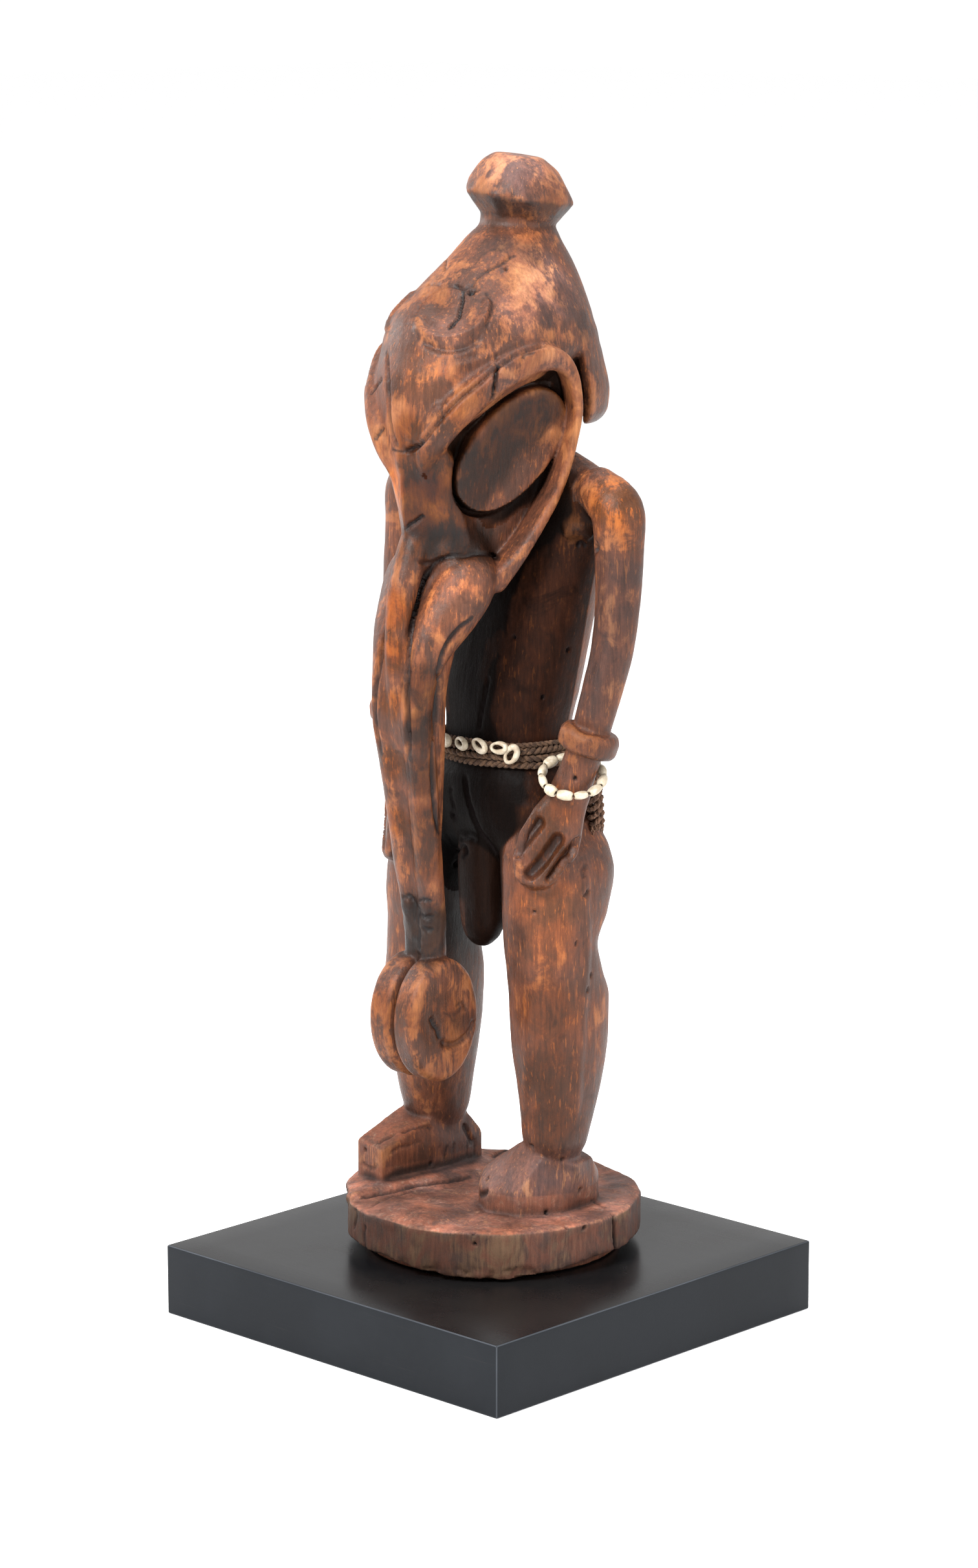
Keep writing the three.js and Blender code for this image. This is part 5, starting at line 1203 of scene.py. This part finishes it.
# ------------------------------------------------------------------ plinth
def plinth_material(name, lo, hi, gloss, r0, r1):
    m = Mat(name)
    n = m.noise(14, 5, 0.6)
    s = m.noise(1, 6, 0.65, m.coords((22, 900, 900)))
    dust = m.noise(1400, 3, 0.6)
    c = m.mix(lo, hi, m.ramp(n, 0.35, 0.7, 0.0, 1.0))
    c = m.mix(c, (0.035, 0.030, 0.028), m.ramp(s, 0.62, 0.8, 0.0, 0.3))
    c = m.mix(c, (0.10, 0.095, 0.09), m.ramp(dust, 0.74, 0.82, 0.0, 0.25))
    m.put(m.b.inputs["Base Color"], c)
    m.put(m.b.inputs["Roughness"], m.ramp(n, 0.3, 0.7, r0, r1))
    m.b.inputs["Specular IOR Level"].default_value = gloss
    nb = m.bump(s, 0.12, 0.0003)
    m.put(m.b.inputs["Normal"], m.bump(dust, 0.08, 0.0002, nb))
    return m.m


def rounded_box(lo, hi, r, cells):
    """box with rounded edges as six grids pulled to a rounded shape"""
    lo, hi = np.array(lo, float), np.array(hi, float)
    c, h = (lo + hi) / 2, (hi - lo) / 2
    b = Build()
    for ax in range(3):
        for sg in (1, -1):
            o1, o2 = (ax + 1) % 3, (ax + 2) % 3

            def ticks(k):
                inner = np.linspace(-(h[k] - r), h[k] - r, cells)
                edge = h[k] - r + r * np.tan(np.linspace(0, math.pi / 4, 5)[1:])
                return np.concatenate([-edge[::-1], inner, edge])
            A, B = ticks(o1), ticks(o2)
            P = np.zeros((len(A), len(B), 3))
            P[..., ax] = sg * h[ax]
            P[..., o1], P[..., o2] = A[:, None], B[None, :]
            core = np.clip(P, -(h - r), h - r)
            d = P - core
            L = np.linalg.norm(d, axis=-1, keepdims=True)
            P = core + d / np.maximum(L, 1e-9) * r
            w = len(B)
            fs = []
            for i in range(len(A) - 1):
                for j in range(w - 1):
                    q = (i * w + j, (i + 1) * w + j, (i + 1) * w + j + 1, i * w + j + 1)
                    fs.append(q if sg > 0 else q[::-1])
            b.add(P.reshape(-1, 3) + c, fs)
    return b


pl = rounded_box((-115, -115, 0), (115, 115, 36), 0.9, 14)
ob = pl.make("black_plinth", plinth_material("black_top", (0.0035, 0.0035, 0.0042), (0.008, 0.0075, 0.0075), 0.14, 0.20, 0.30))
# the sides: a lighter bluish grey than the top, painted sheen
ob.data.materials.append(plinth_material("black_side_painted_sheen", (0.0050, 0.0062, 0.0082), (0.0085, 0.0100, 0.0125), 0.1, 0.40, 0.5))
# the rounded edges: a much lighter bluish grey, painted highlight
ob.data.materials.append(plinth_material("black_edge_painted_highlight", (0.020, 0.023, 0.028), (0.040, 0.045, 0.053), 0.2, 0.40, 0.5))
for p in ob.data.polygons:
    up = abs(p.normal.z)
    flatness = max(abs(p.normal.x), abs(p.normal.y), up)
    p.material_index = 2 if 0.72 < flatness < 0.93 else (0 if up > 0.9 else 1)
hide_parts("display_plinth")


# ------------------------------------------------------------------ floor, light, camera
def stage_plane(name, size, color):
    me = bpy.data.meshes.new(name)
    s = size
    me.from_pydata([(-s, -s, 0), (s, -s, 0), (s, s, 0), (-s, s, 0)], [], [(0, 1, 2, 3)])
    m = Mat(name + "_paint")
    m.b.inputs["Base Color"].default_value = (*color, 1)
    m.b.inputs["Roughness"].default_value = 0.9
    m.b.inputs["Specular IOR Level"].default_value = 0.1
    me.materials.append(m.m)
    ob = bpy.data.objects.new(name, me)
    bpy.context.scene.collection.objects.link(ob)
    return ob


stage_plane("floor", 14.0, (0.97, 0.97, 0.97))


def area(name, at, to, size, power, color=(1, 1, 1)):
    l = bpy.data.lights.new(name, "AREA")
    l.shape, l.size, l.energy, l.color = "DISK", size, power, color
    o = bpy.data.objects.new(name, l)
    o.location = at
    d = np.array(to, float) - np.array(at, float)
    from mathutils import Vector
    o.rotation_euler = Vector(d.tolist()).to_track_quat("-Z", "Y").to_euler()
    bpy.context.scene.collection.objects.link(o)
    return o


def by_view(right, toward, up):
    """a place given as metres to the picture's right, toward the camera and up"""
    return tuple(RT * right - np.array([FW[0], FW[1], 0]) / math.hypot(FW[0], FW[1]) * toward + np.array([0, 0, up]))


mid_ = (0, 0, 0.30)
area("key", by_view(-1.1, 1.6, 2.0), mid_, 0.9, 112)
area("fill_right", by_view(1.7, 1.0, 1.0), mid_, 1.2, 20)
area("top", by_view(0.1, -0.2, 2.2), mid_, 1.2, 26)
area("back_left", by_view(-1.6, -1.2, 1.0), mid_, 1.0, 18)

world = bpy.data.worlds.new("studio")
bpy.context.scene.world = world
world.use_nodes = True
bg = world.node_tree.nodes["Background"]
bg.inputs[0].default_value = (1, 1, 1, 1)
bg.inputs[1].default_value = 1.03

cam = bpy.data.cameras.new("camera")
cam.lens = F_PX / 2424 * 36
cam.sensor_width = 36
cam.sensor_fit = "AUTO"
cam.clip_start, cam.clip_end = 0.05, 60
co = bpy.data.objects.new("camera", cam)
from mathutils import Matrix
M3 = np.stack([RT, UP, -FW], 1)
co.matrix_world = Matrix([[*M3[0], CAM[0] / 1000], [*M3[1], CAM[1] / 1000], [*M3[2], CAM[2] / 1000], [0, 0, 0, 1]])
bpy.context.scene.collection.objects.link(co)
bpy.context.scene.camera = co
bpy.context.scene.view_settings.view_transform = "Standard"
bpy.context.scene.view_settings.look = "None"
bpy.context.scene.view_settings.exposure = 0.0
